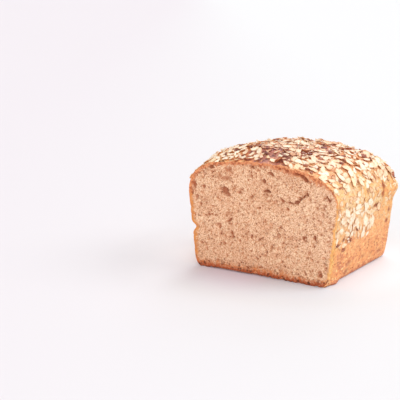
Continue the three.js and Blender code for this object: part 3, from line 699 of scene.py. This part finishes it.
def marks_and_shadows_tone(p):
    """Where the right wall has brown marks, partly its own and partly painted shadows of flakes
    and of the crease.
    """
    x, behind, z = spans(p)
    found = np.zeros(len(p))
    for mark_behind, mark_height, wide, high, strength in MARKS_AND_SHADOWS:
        near = bell(behind - mark_behind, 1.3 * wide) * bell(z - mark_height, 1.3 * high)
        found = np.maximum(found, 2.2 * strength * near)
    return np.minimum(found, 1) * (x > 0)


def yellow_and_highlight_tone(p):
    """Where the crust is yellow: low beside the cut, partly a painted highlight of the lit corner
    there, and faintly on the upper right wall.
    """
    x, behind, z = spans(p)
    beside_cut = bell(behind, 5.5) * (1 - smooth(z, 34, 50)) * smooth(z, 3, 9)
    above = 0.3 * smooth(z, 38, 52) * (1 - smooth(z, 68, 78))
    return np.maximum(beside_cut, above) * (x > 0)


def floured_tone(p):
    """Where the right wall and shoulder are whitish with oat dust."""
    x, behind, z = spans(p)
    onward = behind - BAND["behind"]
    middle = z - BAND["height"] + onward * BAND["fall"]
    dust = 0.6 * bell(onward, BAND["long"]) * bell(middle, BAND["high"])
    dust = np.maximum(dust, 0.35 * bell(z - 76, 9)) * (x > 0)
    return np.clip(dust * (0.9 + 0.6 * uneven(p, 6, 51)), 0, 1)


# ---- Oats

def plate(sides, thick, insets, shape_top):
    """The points and faces of a round plate of unit width, with rings inset in its upper side."""
    bpy.ops.object.select_all(action="DESELECT")
    bpy.ops.mesh.primitive_circle_add(vertices=sides, radius=0.5, fill_type="NGON")
    disc = bpy.context.object
    mesh = disc.data
    bpy.ops.object.mode_set(mode="EDIT")
    bpy.ops.mesh.select_mode(type="FACE")
    bpy.ops.mesh.select_all(action="SELECT")
    bpy.ops.mesh.extrude_region_move(TRANSFORM_OT_translate={"value": (0, 0, thick)})
    for inset in insets:
        bpy.ops.mesh.inset(thickness=inset)
    shape_top()
    bpy.ops.mesh.select_all(action="SELECT")
    bpy.ops.mesh.normals_make_consistent(inside=False)
    leave_edit()
    p = points_of(mesh) * MM
    faces = [tuple(face.vertices) for face in mesh.polygons]
    bpy.data.objects.remove(disc)
    bpy.data.meshes.remove(mesh)
    return p, faces


def flake_pattern(number):
    """One rolled oat of unit length: a thin oval with an uneven rim, a groove and a curl. It is
    returned as points, faces and each point's distance from the middle."""
    p, faces = plate(FLAKE_SIDES, 0.1, (0.1, 0.2), bpy.ops.mesh.poke)
    radius = np.hypot(p[:, 0], p[:, 1]) / 0.5
    turn = np.arctan2(p[:, 1], p[:, 0])
    side = np.rint(turn / (2 * math.pi / FLAKE_SIDES)).astype(int) % FLAKE_SIDES
    reach = lerp(0.62, 1.14, chance(side + 40 * number, 61))
    broken = (side - int(luck(number, 62) * FLAKE_SIDES)) % FLAKE_SIDES
    reach = np.where(broken < number % 4, luck(number, 68, 0.5, 0.75), reach)
    under = p[:, 2] < 0.05
    scale = lerp(1, reach, np.clip(radius, 0, 1)) * np.where(under, 0.86, 1)
    u, v = p[:, 0] * scale, p[:, 1] * scale
    height = np.where(under, 0, 0.085 - 0.03 * radius ** 2)
    groove = 0.03 * (np.abs(p[:, 1]) < 1e-4) * ~under * (1 - 0.5 * radius)
    cup = luck(number, 63, -0.1, 0.42)
    fold = luck(number, 64, -0.25, 0.35)
    twist = luck(number, 65, -0.3, 0.3)
    ripple = 0.045 * (chance(side * 3 + number * 7, 66) - 0.5) * radius
    height = height - groove + cup * u ** 2 + fold * v ** 2 + twist * u * v + ripple
    return np.stack([u, v, height], axis=1), faces, np.clip(radius, 0, 1)


def top_cover(p):
    """The share of the crown that oats cover at a point."""
    x, behind, _ = spans(p)
    bare = max(bell(x - across, wide) * bell(behind - middle, long)
               for across, middle, wide, long in BARE_PATCHES)
    strip = BARE_BY_CUT + BARE_LEFT * smooth(-x, 16, 50)
    thin = 1 - THINNING * smooth(x, *THIN_ACROSS) - (1 - THINNING) * smooth(x, *BARE_ACROSS)
    return smooth(RIM - abs(x), 0, CROWN_EDGE) * smooth(behind - strip, -1, 2) * thin - bare


def shoulder_cover(p):
    """The same on the walls and the baked end."""
    return smooth(p[2], *SHOULDER_HEIGHTS)


# The sides from which oats were strewn: where each flew from, which way, and the cover
SIDES = (
    (lambda a, b: (lerp(-RIM, RIM, a), lerp(CUT, -CUT, b), AWAY), (0, 0, -1), top_cover),
    (lambda a, b: (-AWAY, lerp(CUT, -CUT, a), lerp(62, 86, b)), (1, 0, 0), shoulder_cover),
    (lambda a, b: (lerp(-RIM, RIM, a), AWAY, lerp(62, 82, b)), (0, -1, 0), shoulder_cover),
    (lambda a, b: (AWAY, lerp(CUT, -CUT, a), lerp(60, 78, b)), (-1, 0, 0), shoulder_cover),
)


def struck(tree, start, toward):
    """Where a straight line meets the crust, if it does, and the outward direction there."""
    hit, normal, _, _ = tree.ray_cast(Vector(start) * MM, Vector(toward))
    return (None, None) if hit is None else (np.array(hit) / MM, normal)


def landed(tree, seed, side):
    """The same for an oat strewn from a side, if it stays."""
    start, toward, cover = SIDES[side]
    place, normal = struck(tree, start(luck(seed, 2), luck(seed, 3)), toward)
    if place is None or luck(seed, 4) > cover(place):
        return None, None
    return place, normal


def on_crown(tree, across, behind):
    return struck(tree, (across, CUT + behind, AWAY), (0, 0, -1))


def on_right_wall(tree, behind, height):
    return struck(tree, (AWAY, CUT + behind, height), (-1, 0, 0))


def crust_places(tree):
    """The places where oats landed, as seed, place, outward direction and layer."""
    found = []
    taken = np.array([on_crown(tree, *flake[:2])[0] for flake in CROWN_FLAKES])
    for layer, plan in enumerate((STREWN, STREWN_LATER)):
        for side, (wanted, apart) in enumerate(plan):
            goal = len(found) + wanted
            for i in range(1, FLAKE_TRIES):
                if len(found) >= goal:
                    break
                seed = i + (side + 4 * layer) * FLAKE_TRIES
                place, normal = landed(tree, seed, side)
                if place is None or np.min(np.linalg.norm(taken - place, axis=1)) < apart:
                    continue
                taken = np.vstack([taken, place])
                found.append((seed, place, normal, layer))
    return found


def facing(normal):
    return np.array(Vector((0, 0, 1)).rotation_difference(normal).to_matrix())


def turned(points, about, angle):
    return points @ np.array(Matrix.Rotation(angle, 3, about)).T


class Heap:
    """Many small shapes, gathered into one mesh."""

    def __init__(self):
        self.points, self.faces, self.flat = [], [], []
        self.notes = {"toast": [], "edge": [], "gold": []}
        self.count = 0

    def add(self, shape, faces, tone, edge, flat, gold=None):
        gold = luck(self.count, 94) ** 3 if gold is None else gold
        self.points.append(shape)
        self.faces += [tuple(i + self.count for i in face) for face in faces]
        self.flat.append(flat)
        for values, value in zip(self.notes.values(), (tone, edge, gold)):
            values.append(np.broadcast_to(value, len(shape)))
        self.count += len(shape)

    def piece(self, name):
        mesh = bpy.data.meshes.new(name)
        points = np.concatenate(self.points)
        points[:, 1] = np.maximum(points[:, 1], CUT)
        mesh.from_pydata((points * MM).tolist(), [], self.faces)
        mesh.update()
        for kind, values in self.notes.items():
            note(mesh, kind, np.concatenate(values))
        layer = mesh.uv_layers.new(name="lengthwise")
        corner = np.empty(len(mesh.loops), int)
        mesh.loops.foreach_get("vertex_index", corner)
        layer.data.foreach_set("uv", np.concatenate(self.flat)[corner].ravel())
        piece = bpy.data.objects.new(name, mesh)
        bpy.context.collection.objects.link(piece)
        bpy.ops.object.select_all(action="DESELECT")
        piece.select_set(True)
        bpy.context.view_layer.objects.active = piece
        bpy.ops.object.shade_smooth_by_angle(angle=math.radians(OAT_EDGE_ANGLE))
        return piece


def toast_at(place, seed):
    """How toasted an oat is: most on the crown by the cut, least on the right."""
    x, behind, z = spans(place)
    crown = smooth(z, 78, 98) * smooth(RIM - abs(x), 6, 34)
    tone = lerp(0.1, 0.28, crown) + 0.26 * bell(x - 2, 22) * bell(behind - 14, 22) * crown
    tone = tone - 0.12 * smooth(x, 16, 46) - 0.24 * smooth(-x, 10, 36)
    spread = lerp(0.52, 0.24, smooth(-x, 16, 38))
    return min(max(tone + spread * (luck(seed, 71) - 0.5), 0), 1)


def laid_flat(shape, place, normal, ahead, turn):
    """Turns a shape's length a way round from the direction ahead, flat on the crust."""
    up = np.array(normal)
    onward = np.array(ahead, float) - up * (up @ ahead)
    onward /= np.linalg.norm(onward)
    angle = math.radians(turn)
    along = math.cos(angle) * onward + math.sin(angle) * np.cross(up, onward)
    return shape @ np.stack([along, np.cross(up, along), up]) + place


def lay(heap, pattern, size, spot, ahead, turn, tone, gold, shift, lift=0.0, tilts=(0, 0)):
    """Adds a flake that lies at a spot of the crust, its length turned from the direction ahead,
    tilted a little and lifted."""
    shape, faces, radius = pattern
    laid = turned(turned(shape * np.array(size), "X", tilts[0]), "Y", tilts[1])
    laid[:, 2] += lift
    laid = laid_flat(laid, *spot, ahead, turn)
    heap.add(laid, faces, tone, radius, shape[:, :2] + shift, gold)


def strewn_flakes(heap, patterns, tree):
    """Flakes that fell loosely on the crown and its sides, the later ones lying over the first."""
    for seed, place, normal, layer in crust_places(tree):
        shape, faces, radius = patterns[int(luck(seed, 72) * len(patterns))]
        length = luck(seed, 5, *FLAKE_LENGTH) + 1.8 * smooth(place[0], 5, 45)
        width = length * luck(seed, 6, *FLAKE_SLIMNESS)
        calm = smooth(-place[0], 24, 38)
        loose = lerp(1, 0.5, calm) if layer and place[0] < 20 else 0.6
        tilt = luck(seed, 7, -0.32, 0.32) * loose
        if luck(seed, 73) > 0.9 and place[2] > CROWN - 4 and calm == 0:
            tilt = math.copysign(STEEP_TILT, tilt)
        laid = turned(shape * np.array([length, width, STREWN_HIGH]), "X", tilt)
        laid = turned(laid, "Z", luck(seed, 8) * 2 * math.pi)
        laid[:, 2] += luck(seed, 74, 0.1, 1.5) * lerp(1, 0.4, calm) if layer else -0.1
        laid = laid @ facing(normal).T + place
        heap.add(laid, faces, toast_at(place, seed), radius, shape[:, :2] + luck(seed, 75) * 20)


def crown_flakes(heap, patterns, tree):
    """Flakes on the crown, each at its own place."""
    for i, (across, behind, length, width, turn, tone) in enumerate(CROWN_FLAKES):
        size = (CROWN_FLAKE_SIZE * length, CROWN_FLAKE_SIZE * width, CROWN_FLAKE_HIGH)
        tone = tone + (0.14 if 0 < across < 44 else 0)
        gold = 0.45 if across > 34 and behind < 45 else 0.1
        tilts = (luck(i, 82, -0.22, 0.22), luck(i, 83, -0.16, 0.16))
        lay(heap, patterns[(i + 4) % len(patterns)], size, on_crown(tree, across, behind),
            (1, 0, 0), turn, tone, gold, i * 5, luck(i, 84, 0.3, 0.9), tilts)


def standing_flakes(heap, patterns, tree):
    """Flakes on the right shoulder that lean out of the crust and face the cut."""
    for i, (across, behind, length, width, turn, tone) in enumerate(STANDING_FLAKES):
        place, normal = on_crown(tree, across, behind)
        outward = (normal + Vector((0.3, -1, 0.1))).normalized()
        spot = (place + 0.3 * width * np.array(normal), outward)
        lay(heap, patterns[(i + 2) % len(patterns)], (length, width, STANDING_FLAKE_HIGH), spot,
            (0, 0, 1), turn, tone, 0.4, i * 5)


def wall_flakes(heap, patterns, tree):
    """Flakes pressed into the right wall, each at its own place, the dark ones smaller. The dark
    ones lie where shadows fall and are partly painted shade.
    """
    for i, (behind, height, length, width, turn, tone) in enumerate(WALL_FLAKES):
        dark = tone > 0.4
        size = 0.9 if dark else lerp(1.4, 1.1, smooth(tone, 0.05, 0.2))
        golden = 1 if dark else lerp(0.26, 0.7, smooth(tone, 0.1, 0.3))
        lay(heap, patterns[i % len(patterns)], (size * length, size * width, WALL_FLAKE_HIGH),
            on_right_wall(tree, behind, height), (0, 1, 0), turn, tone, golden, i * 3,
            -0.1 if height > 50 else 0, (luck(i, 81, -0.1, 0.1), 0))


def faint_flakes(heap, patterns, tree):
    """Flakes baked into the upper right wall, hardly standing out of it."""
    taken = [flake[:2] for flake in WALL_FLAKES]
    taken += [(CREASE_BEHIND, CREASE_HEIGHT + up) for up in (-5, 0, 5)]
    goal = len(taken) + FAINT_FLAKES
    for i in range(FLAKE_TRIES):
        if len(taken) >= goal:
            break
        spot = (luck(i, 41, 1, 98), luck(i, 42, 50, 69))
        if min(math.dist(spot, other) for other in taken) < 5:
            continue
        taken.append(spot)
        length = luck(i, 43, 5, 8.4)
        size = (length, length * luck(i, 44, 0.5, 0.75), FAINT_FLAKE_HIGH)
        lay(heap, patterns[i % len(patterns)], size, on_right_wall(tree, *spot), (0, 1, 0),
            luck(i, 45, -60, 70), luck(i, 46, 0.1, 0.34), 0.7, i * 3, -0.2)


def oat_flakes(tree):
    patterns = [flake_pattern(k) for k in range(9)]
    heap = Heap()
    for kind in (strewn_flakes, crown_flakes, standing_flakes, wall_flakes, faint_flakes):
        kind(heap, patterns, tree)
    return heap.piece("oat_flakes")


def raise_top():
    bpy.ops.transform.translate(value=(0, 0, 0.06))


def crumb_pattern(number):
    """A broken bit of oat of unit length: a thick uneven chip."""
    p, faces = plate(6, 0.3, (0.12,), raise_top)
    index = np.arange(len(p)) + 50 * number
    slim = luck(number, 92, 0.5, 0.9)
    return p * (lerp(0.75, 1.2, chance(index, 91))[:, None] * np.array([1, slim, 1])), faces


def oat_crumbs(tree):
    """Broken oats between the flakes, mostly on the crown."""
    patterns = [crumb_pattern(k) for k in range(6)]
    heap = Heap()

    def add(number, place, normal, size, lift, tone):
        shape, faces = patterns[number % len(patterns)]
        laid = turned(shape * size, "X", luck(number, 34) - 0.5)
        laid = turned(laid, "Z", luck(number, 35) * 2 * math.pi)
        laid[:, 2] += lift
        laid = laid @ facing(normal).T + place
        heap.add(laid, faces, tone, 0.5, shape[:, :2] + number % 7)

    for side, wanted in enumerate(STREWN_BITS):
        for i in range(wanted):
            seed = i + 1 + (side + 20) * FLAKE_TRIES
            place, normal = landed(tree, seed, side)
            if place is not None:
                size = lerp(1.1, 3.4, luck(seed, 33) ** 2)
                lift = luck(seed, 36, 0, 0.9) if side == 0 else -0.2
                add(seed, place, normal, size, lift, toast_at(place, seed))
    for i in range(WALL_BITS):
        onward, down = luck(i, 37), luck(i, 38)
        place, normal = on_right_wall(tree, lerp(0, 60, onward), lerp(56, 31, down) - 5 * onward)
        size = np.array([1, luck(i, 40, 0.4, 1), 0.5]) * lerp(1.4, 5, luck(i, 33) ** 1.6)
        add(i, place, normal, size, -0.1, lerp(0, 0.5, luck(i, 39) ** 2))
    # painted shade: nearly black bits laid where shade falls between the crown's flakes
    for i, (across, behind, length) in enumerate(CHARRED_AND_SHADE_BITS):
        place, normal = on_crown(tree, across, behind)
        charred_and_shade_tone = luck(i, 93, 0.86, 1.0) - (0.12 if across > 28 else 0)
        add(i, place, normal, np.array([length, length, CHARRED_AND_SHADE_HIGH]), 0.6, charred_and_shade_tone)
    return heap.piece("oat_crumbs")


# ---- Materials

def paint(red, green, blue):
    """A colour as seen on a screen, from 0 to 255, as light."""
    light = [((c / 255 + 0.055) / 1.055) ** 2.4 if c > 10 else c / 255 / 12.92
             for c in (red, green, blue)]
    return (*light, 1)


class Look:
    """The nodes of a material or a group, and short ways to add to them."""

    def __init__(self, tree):
        self.tree = tree

    def give(self, socket, value):
        """Links what another node puts out to a socket, or sets the socket itself."""
        if isinstance(value, bpy.types.NodeSocket):
            self.tree.links.new(value, socket)
        else:
            socket.default_value = value

    def node(self, kind, inputs=None, **settings):
        made = self.tree.nodes.new(kind)
        for name, value in settings.items():
            setattr(made, name, value)
        for name, value in (inputs or {}).items():
            self.give(made.inputs[name], value)
        return made

    def maths(self, operation, a, b=0.0, c=0.0):
        inputs = {0: a, 1: b, 2: c}
        return self.node("ShaderNodeMath", inputs, operation=operation).outputs[0]

    def times(self, a, b):
        return self.maths("MULTIPLY", a, b)

    def swayed(self, value, pattern, by):
        """A value that goes up and down a little with a pattern."""
        return self.maths("MULTIPLY_ADD", self.maths("SUBTRACT", pattern, 0.5), by, value)

    def mixed(self, share, a, b, kind="MIX"):
        inputs = {0: share, 6: a, 7: b}
        mix = self.node("ShaderNodeMix", inputs, data_type="RGBA", blend_type=kind)
        return mix.outputs[2]

    def painted(self, colour, *layers):
        """A colour with layers over it, each a mask and its own colour as seen on a screen."""
        for mask, *tint in layers:
            colour = self.mixed(mask, colour, paint(*tint))
        return colour

    def eased(self, value, low, high, to_low=0.0, to_high=1.0):
        inputs = {"Value": value, "From Min": low, "From Max": high, "To Min": to_low,
                  "To Max": to_high}
        ease = self.node("ShaderNodeMapRange", inputs, interpolation_type="SMOOTHSTEP")
        return ease.outputs[0]

    def tones(self, share, stops):
        ramp = self.node("ShaderNodeValToRGB", {"Fac": share})
        elements = ramp.color_ramp.elements
        for i, (place, *colour) in enumerate(stops):
            stop = elements[i] if i < 2 else elements.new(place)
            stop.position = place
            stop.color = paint(*colour)
        return ramp.outputs["Color"]

    def noted(self, name):
        return self.node("ShaderNodeAttribute", attribute_name=name).outputs["Fac"]

    def scaled(self, vector, scale):
        return self.node("ShaderNodeMapping", {"Vector": vector, "Scale": scale}).outputs[0]

    def along(self, vector):
        return self.node("ShaderNodeSeparateXYZ", {"Vector": vector}).outputs

    def vector(self, operation, inputs, output=0):
        return self.node("ShaderNodeVectorMath", inputs, operation=operation).outputs[output]

    def use(self, group, **inputs):
        return self.node("ShaderNodeGroup", inputs, node_tree=group).outputs[0]

    def patches(self, vector, scale, detail, low=0.35, high=0.65):
        return self.use(PATCHES, Vector=vector, Scale=scale, Detail=detail, Low=low, High=high)

    def specks(self, vector, scale, share, size):
        return self.use(SPECKS, Vector=vector, Scale=scale, Share=share, Size=size)

    def grain(self, vector, scale, pits):
        return self.use(GRAIN, Vector=vector, Scale=scale, Pits=pits)


def new_group(name, inputs, output):
    """A group that is given a vector and some numbers and puts out one value: its nodes, what
    it is given, and the socket of its value."""
    tree = bpy.data.node_groups.new(name, "ShaderNodeTree")
    tree.interface.new_socket("Vector", in_out="INPUT", socket_type="NodeSocketVector")
    for socket, value in inputs.items():
        made = tree.interface.new_socket(socket, in_out="INPUT", socket_type="NodeSocketFloat")
        made.default_value = value
    tree.interface.new_socket(output, in_out="OUTPUT", socket_type="NodeSocketFloat")
    given = tree.nodes.new("NodeGroupInput").outputs
    return Look(tree), given, tree.nodes.new("NodeGroupOutput").inputs[output]


def patches_group():
    """Soft patches: noise spread between two values."""
    inputs = {"Scale": 1.0, "Detail": 2.0, "Low": 0.35, "High": 0.65}
    look, given, out = new_group("patches", inputs, "Value")
    cloud = look.node("ShaderNodeTexNoise", {"Vector": given["Vector"], "Scale": given["Scale"],
                                             "Detail": given["Detail"]})
    look.give(out, look.eased(cloud.outputs["Fac"], given["Low"], given["High"]))
    return look.tree


def specks_group():
    """Round specks of uneven size, in a share of the cells of a pattern."""
    inputs = {"Scale": 1.0, "Share": 0.5, "Size": 0.3}
    look, given, out = new_group("specks", inputs, "Mask")
    bend = look.node("ShaderNodeTexNoise", {"Vector": given["Vector"], "Scale": given["Scale"],
                                            "Detail": 1.0})
    pull = look.vector("SUBTRACT", {0: bend.outputs["Color"], 1: (0.5, 0.5, 0.5)})
    bent = look.vector("SCALE", {0: pull, "Scale": 1.2})
    place = look.vector("ADD", {0: given["Vector"], 1: bent})
    cells = look.node("ShaderNodeTexVoronoi", {"Vector": place, "Scale": given["Scale"]})
    draws = look.node("ShaderNodeSeparateColor", {"Color": cells.outputs["Color"]}).outputs
    size = look.times(given["Size"], look.maths("ADD", draws["Red"], 0.4))
    dot = look.eased(look.maths("DIVIDE", cells.outputs["Distance"], size), 1.0, 0.35)
    there = look.maths("LESS_THAN", draws["Green"], given["Share"])
    look.give(out, look.times(dot, there))
    return look.tree


def grain_group():
    """Fine grain for bump: soft noise with small sunk pits."""
    look, given, out = new_group("grain", {"Scale": 1.0, "Pits": 0.5}, "Height")
    where = {"Vector": given["Vector"], "Scale": given["Scale"]}
    soft = look.node("ShaderNodeTexNoise", {**where, "Detail": 4.0, "Roughness": 0.6})
    cells = look.node("ShaderNodeTexVoronoi", where)
    sunk = look.times(look.eased(cells.outputs["Distance"], 0.45, 0.1), given["Pits"])
    look.give(out, look.maths("SUBTRACT", soft.outputs["Fac"], sunk))
    return look.tree


PATCHES = patches_group()
SPECKS = specks_group()
GRAIN = grain_group()


def new_finish(name):
    """A material, its nodes, and Object coordinates in millimetres."""
    finish = bpy.data.materials.new(name)
    finish.use_nodes = True
    look = Look(finish.node_tree)
    where = look.node("ShaderNodeTexCoord").outputs["Object"]
    return finish, look, look.scaled(where, (1 / MM, 1 / MM, 1 / MM))


def shade(look, values):
    """Gives the material's shader its values, each linked or set on its own socket."""
    for name, value in values.items():
        look.give(look.tree.nodes["Principled BSDF"].inputs[name], value)


def bump(look, height, distance, strength):
    inputs = {"Height": height, "Distance": distance * MM, "Strength": strength}
    shade(look, {"Normal": look.node("ShaderNodeBump", inputs).outputs["Normal"]})


def crust_finish():
    finish, look, mm = new_finish("baked_crust")
    baked = look.noted("baked")
    drawn = look.scaled(mm, (1, 0.55, 1))
    small = look.patches(drawn, 0.6, 5.0)
    share = look.swayed(baked, look.patches(mm, 0.16, 3.0), 0.18)
    up = look.along(mm)["Z"]
    low = look.eased(up, 36.0, 4.0, 0.45, 1.0)
    masks = [look.times(look.specks(drawn, *kind[:3]), low) for kind in CRUST_SPECKS]
    dust = look.times(look.noted("floured"), look.patches(mm, 0.5, 4.0, 0.3, 0.75))
    colour = look.painted(look.tones(look.swayed(share, small, 0.2), CRUST_TONES),
                          *((mask, *kind[3:]) for mask, kind in zip(masks, CRUST_SPECKS)),
                          (dust, 246, 226, 196))
    # yellow low beside the cut, partly a painted highlight of the lit corner
    colour = look.mixed(look.noted("yellow"), colour, (0.98, 0.99, 0.72, 1), "MULTIPLY")
    under = look.eased(look.maths("MULTIPLY_ADD", small, 3.0, up), 3.4, 1.6, 0.0, 0.6)
    # the marks on the right wall, partly painted shadows of flakes and of the crease
    colour = look.painted(colour, (look.noted("marks_and_shade"), 166, 80, 48), (under, 168, 76, 42))
    glazed = look.eased(baked, 0.6, 0.8, 0.0, 0.6)
    shade(look, {
        "Base Color": colour, "Roughness": look.maths("MULTIPLY_ADD", small, 0.2, 0.5),
        "Specular IOR Level": 0.35, "Coat Weight": look.times(glazed, small),
        "Coat Roughness": 0.25, "Emission Color": WARM_GLOW, "Emission Strength": 0.03})
    grain = look.grain(mm, 0.9, 0.5)
    bump(look, look.maths("MULTIPLY_ADD", masks[0], -0.5, grain), 0.8, 1.0)
    return finish


def rim_colour(look, mm, up, beside):
    """The colour of the crust's cut edge, yellow beside the right wall, partly a painted highlight
    of the lit corner there, and where it is charred at the base."""
    edge = look.tones(look.maths("DIVIDE", up, CROWN), EDGE_TONES)
    charred = look.times(look.specks(mm, 0.4, 0.85, 0.48), look.eased(up, 14.0, 1.0))
    return look.painted(edge, (beside, 248, 180, 108), (charred, 76, 34, 22)), charred


def crumb_finish():
    finish, look, mm = new_finish("crumb")
    place = look.along(mm)
    across, up = place["X"], place["Z"]
    colour = look.painted(paint(252, 212, 178), (look.patches(mm, 0.1, 3.0), 242, 195, 160),
                          (look.eased(across, 0.0, 50.0, 0.0, 0.5), 255, 218, 186),
                          (look.eased(up, 34.0, 4.0, 0.0, 0.35), 228, 178, 140))
    darker = look.mixed(1.0, colour, paint(212, 186, 164), "MULTIPLY")
    colour = look.mixed(look.patches(mm, 1.1, 4.0, 0.36, 0.62), darker, colour)
    masks = [look.specks(mm, *kind[:3]) for kind in CRUMB_SPECKS]
    colour = look.painted(colour, *((look.times(mask, kind[3]), *kind[4:])
                                    for mask, kind in zip(masks, CRUMB_SPECKS)))
    rind = look.maths("MULTIPLY_ADD", look.patches(mm, 0.6, 3.0), 0.7, look.noted("rind"))
    beside = look.times(look.eased(across, 46.0, 53.0), look.eased(up, 3.0, 9.0))
    beside = look.times(beside, look.eased(up, 66.0, 52.0))
    edge, charred = rim_colour(look, mm, up, beside)
    colour = look.painted(colour, (look.times(charred, 0.8), 122, 54, 30))
    colour = look.mixed(look.eased(rind, 1.75, 0.65), colour, edge)
    line = look.times(look.eased(rind, 0.45, 0.85), look.eased(rind, 1.7, 1.15))
    line = look.times(line, look.maths("SUBTRACT", 1.0, beside))
    scorched = look.patches(mm, 0.3, 3.0, 0.36, 0.6)
    scorched = look.times(scorched, look.eased(up, 44.0, 62.0, 0.3, 0.9))
    # painted shade: the crumb darker in its holes, the more the deeper they are
    hole = look.eased(look.noted("hole"), 0.3, 2.0)
    colour = look.painted(colour, (look.times(line, scorched), 180, 96, 62),
                          (look.times(hole, 0.8), 164, 90, 58))
    shade(look, {
        "Base Color": colour, "Roughness": 0.9, "Specular IOR Level": 0.25,
        "Emission Color": WARM_GLOW, "Emission Strength": 0.03})
    sunk = look.maths("MAXIMUM", *masks[-2:])
    bump(look, look.maths("MULTIPLY_ADD", sunk, -0.6, look.grain(mm, 1.0, 0.5)), 0.5, 0.9)
    return finish


def oat_finish():
    finish, look, mm = new_finish("toasted_oats")
    flat = look.node("ShaderNodeUVMap", uv_map="lengthwise").outputs["UV"]
    streaks = look.patches(look.scaled(flat, (3.0, 14.0, 1.0)), 1.0, 3.0)
    rim = look.maths("POWER", look.noted("edge"), 5.0)
    share = look.maths("MULTIPLY_ADD", rim, 0.42, look.noted("toast"))
    share = look.swayed(share, streaks, 0.16)
    share = look.swayed(share, look.patches(mm, 0.6, 3.0), 0.2)
    golden = look.maths("MAXIMUM", look.noted("gold"), rim)
    colour = look.tones(share, OAT_TONES)
    shade(look, {
        "Base Color": look.mixed(golden, colour, (1.0, 0.88, 0.68, 1), "MULTIPLY"),
        "Roughness": 0.5, "Specular IOR Level": 0.4,
        "Emission Color": WARM_GLOW, "Emission Strength": 0.02})
    bump(look, look.maths("MULTIPLY_ADD", streaks, 0.6, look.grain(mm, 1.6, 0.1)), 0.2, 0.7)
    return finish


def floor_finish():
    """A pale table with painted light: darker on the left than on the right, and paler near the
    loaf, against its shadow.
    """
    finish, look, mm = new_finish("pale_table")
    # painted light: the table darker on the left and brighter to the right, as the light falls
    rightward = look.vector("DOT_PRODUCT", {0: mm, 1: (0.8355, 0.5495, 0.0)}, "Value")
    rightward = look.eased(rightward, -400.0, 300.0)
    colour = look.mixed(rightward, (0.730, 0.700, 0.730, 1), (0.768, 0.780, 0.788, 1))
    away = look.scaled(mm, (1 / BASE, 1 / BASE, 0))
    away = look.vector("LENGTH", {0: away}, "Value")
    near, wide = look.eased(away, 2.2, 1.0), look.eased(away, 2.8, 1.4)
    place = look.along(mm)
    # painted light: a paler mauve on the table before the cut, where the loaf's shadow falls
    before = look.times(look.eased(place["Y"], -20.0, -60.0), look.eased(place["X"], 40.0, -10.0))
    colour = look.mixed(look.times(near, before), colour, (0.830, 0.770, 0.880, 1))
    # painted light: paler and bluish near the loaf elsewhere, against its shadow and the warm
    # light it throws
    near = look.times(near, look.maths("SUBTRACT", 1.0, before))
    colour = look.mixed(near, colour, (0.830, 0.880, 0.960, 1))
    # painted light: paler beside the loaf on the left, where its shadow falls
    beside = look.times(look.eased(place["X"], -36.0, -66.0), wide)
    colour = look.mixed(beside, colour, (0.900, 0.900, 0.930, 1))
    shade(look, {"Base Color": colour, "Roughness": 0.9, "Specular IOR Level": 0.1})
    return finish


# ---- Stage, light and camera

def floor():
    bpy.ops.object.select_all(action="DESELECT")
    bpy.ops.mesh.primitive_plane_add(size=FLOOR_SIZE, location=(0, 0, 0))
    table = bpy.context.object
    table.name = "table_top"
    table.data.materials.append(floor_finish())


def light():
    """A pale room, and far lamps, each as wide as its spread in degrees."""
    world = bpy.data.worlds.new("room")
    bpy.context.scene.world = world
    world.use_nodes = True
    sky = world.node_tree.nodes["Background"]
    sky.inputs["Color"].default_value = (1.0, 0.985, 0.99, 1)
    sky.inputs["Strength"].default_value = ROOM_LIGHT
    for name, strength, spread, colour, toward in LAMPS:
        sun = bpy.data.lights.new(name, "SUN")
        sun.energy = strength
        sun.angle = math.radians(spread)
        sun.color = colour
        holder = bpy.data.objects.new(name, sun)
        holder.rotation_euler = Vector(toward).to_track_quat("Z", "Y").to_euler()
        bpy.context.collection.objects.link(holder)


def camera():
    eye = bpy.data.cameras.new("camera")
    eye.lens = LENS
    eye.sensor_width = SENSOR
    eye.clip_end = 200
    holder = bpy.data.objects.new("camera", eye)
    holder.location = EYE_PLACE
    holder.rotation_euler = (math.radians(90 - EYE_DOWN), 0, math.radians(EYE_TURN))
    bpy.context.collection.objects.link(holder)
    bpy.context.scene.camera = holder


def build():
    camera()
    body = loaf_body()
    body.data.materials.append(crust_finish())
    body.data.materials.append(crumb_finish())
    tree = BVHTree.FromPolygons([v.co.copy() for v in body.data.vertices],
                                [tuple(f.vertices) for f in body.data.polygons])
    oats = oat_flakes(tree)
    crumbs = oat_crumbs(tree)
    finish = oat_finish()
    oats.data.materials.append(finish)
    crumbs.data.materials.append(finish)
    for piece in (body, oats, crumbs):
        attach(piece, "root")
        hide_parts("loaf")
    floor()
    light()
    bpy.context.scene.view_settings.view_transform = "Standard"


build()
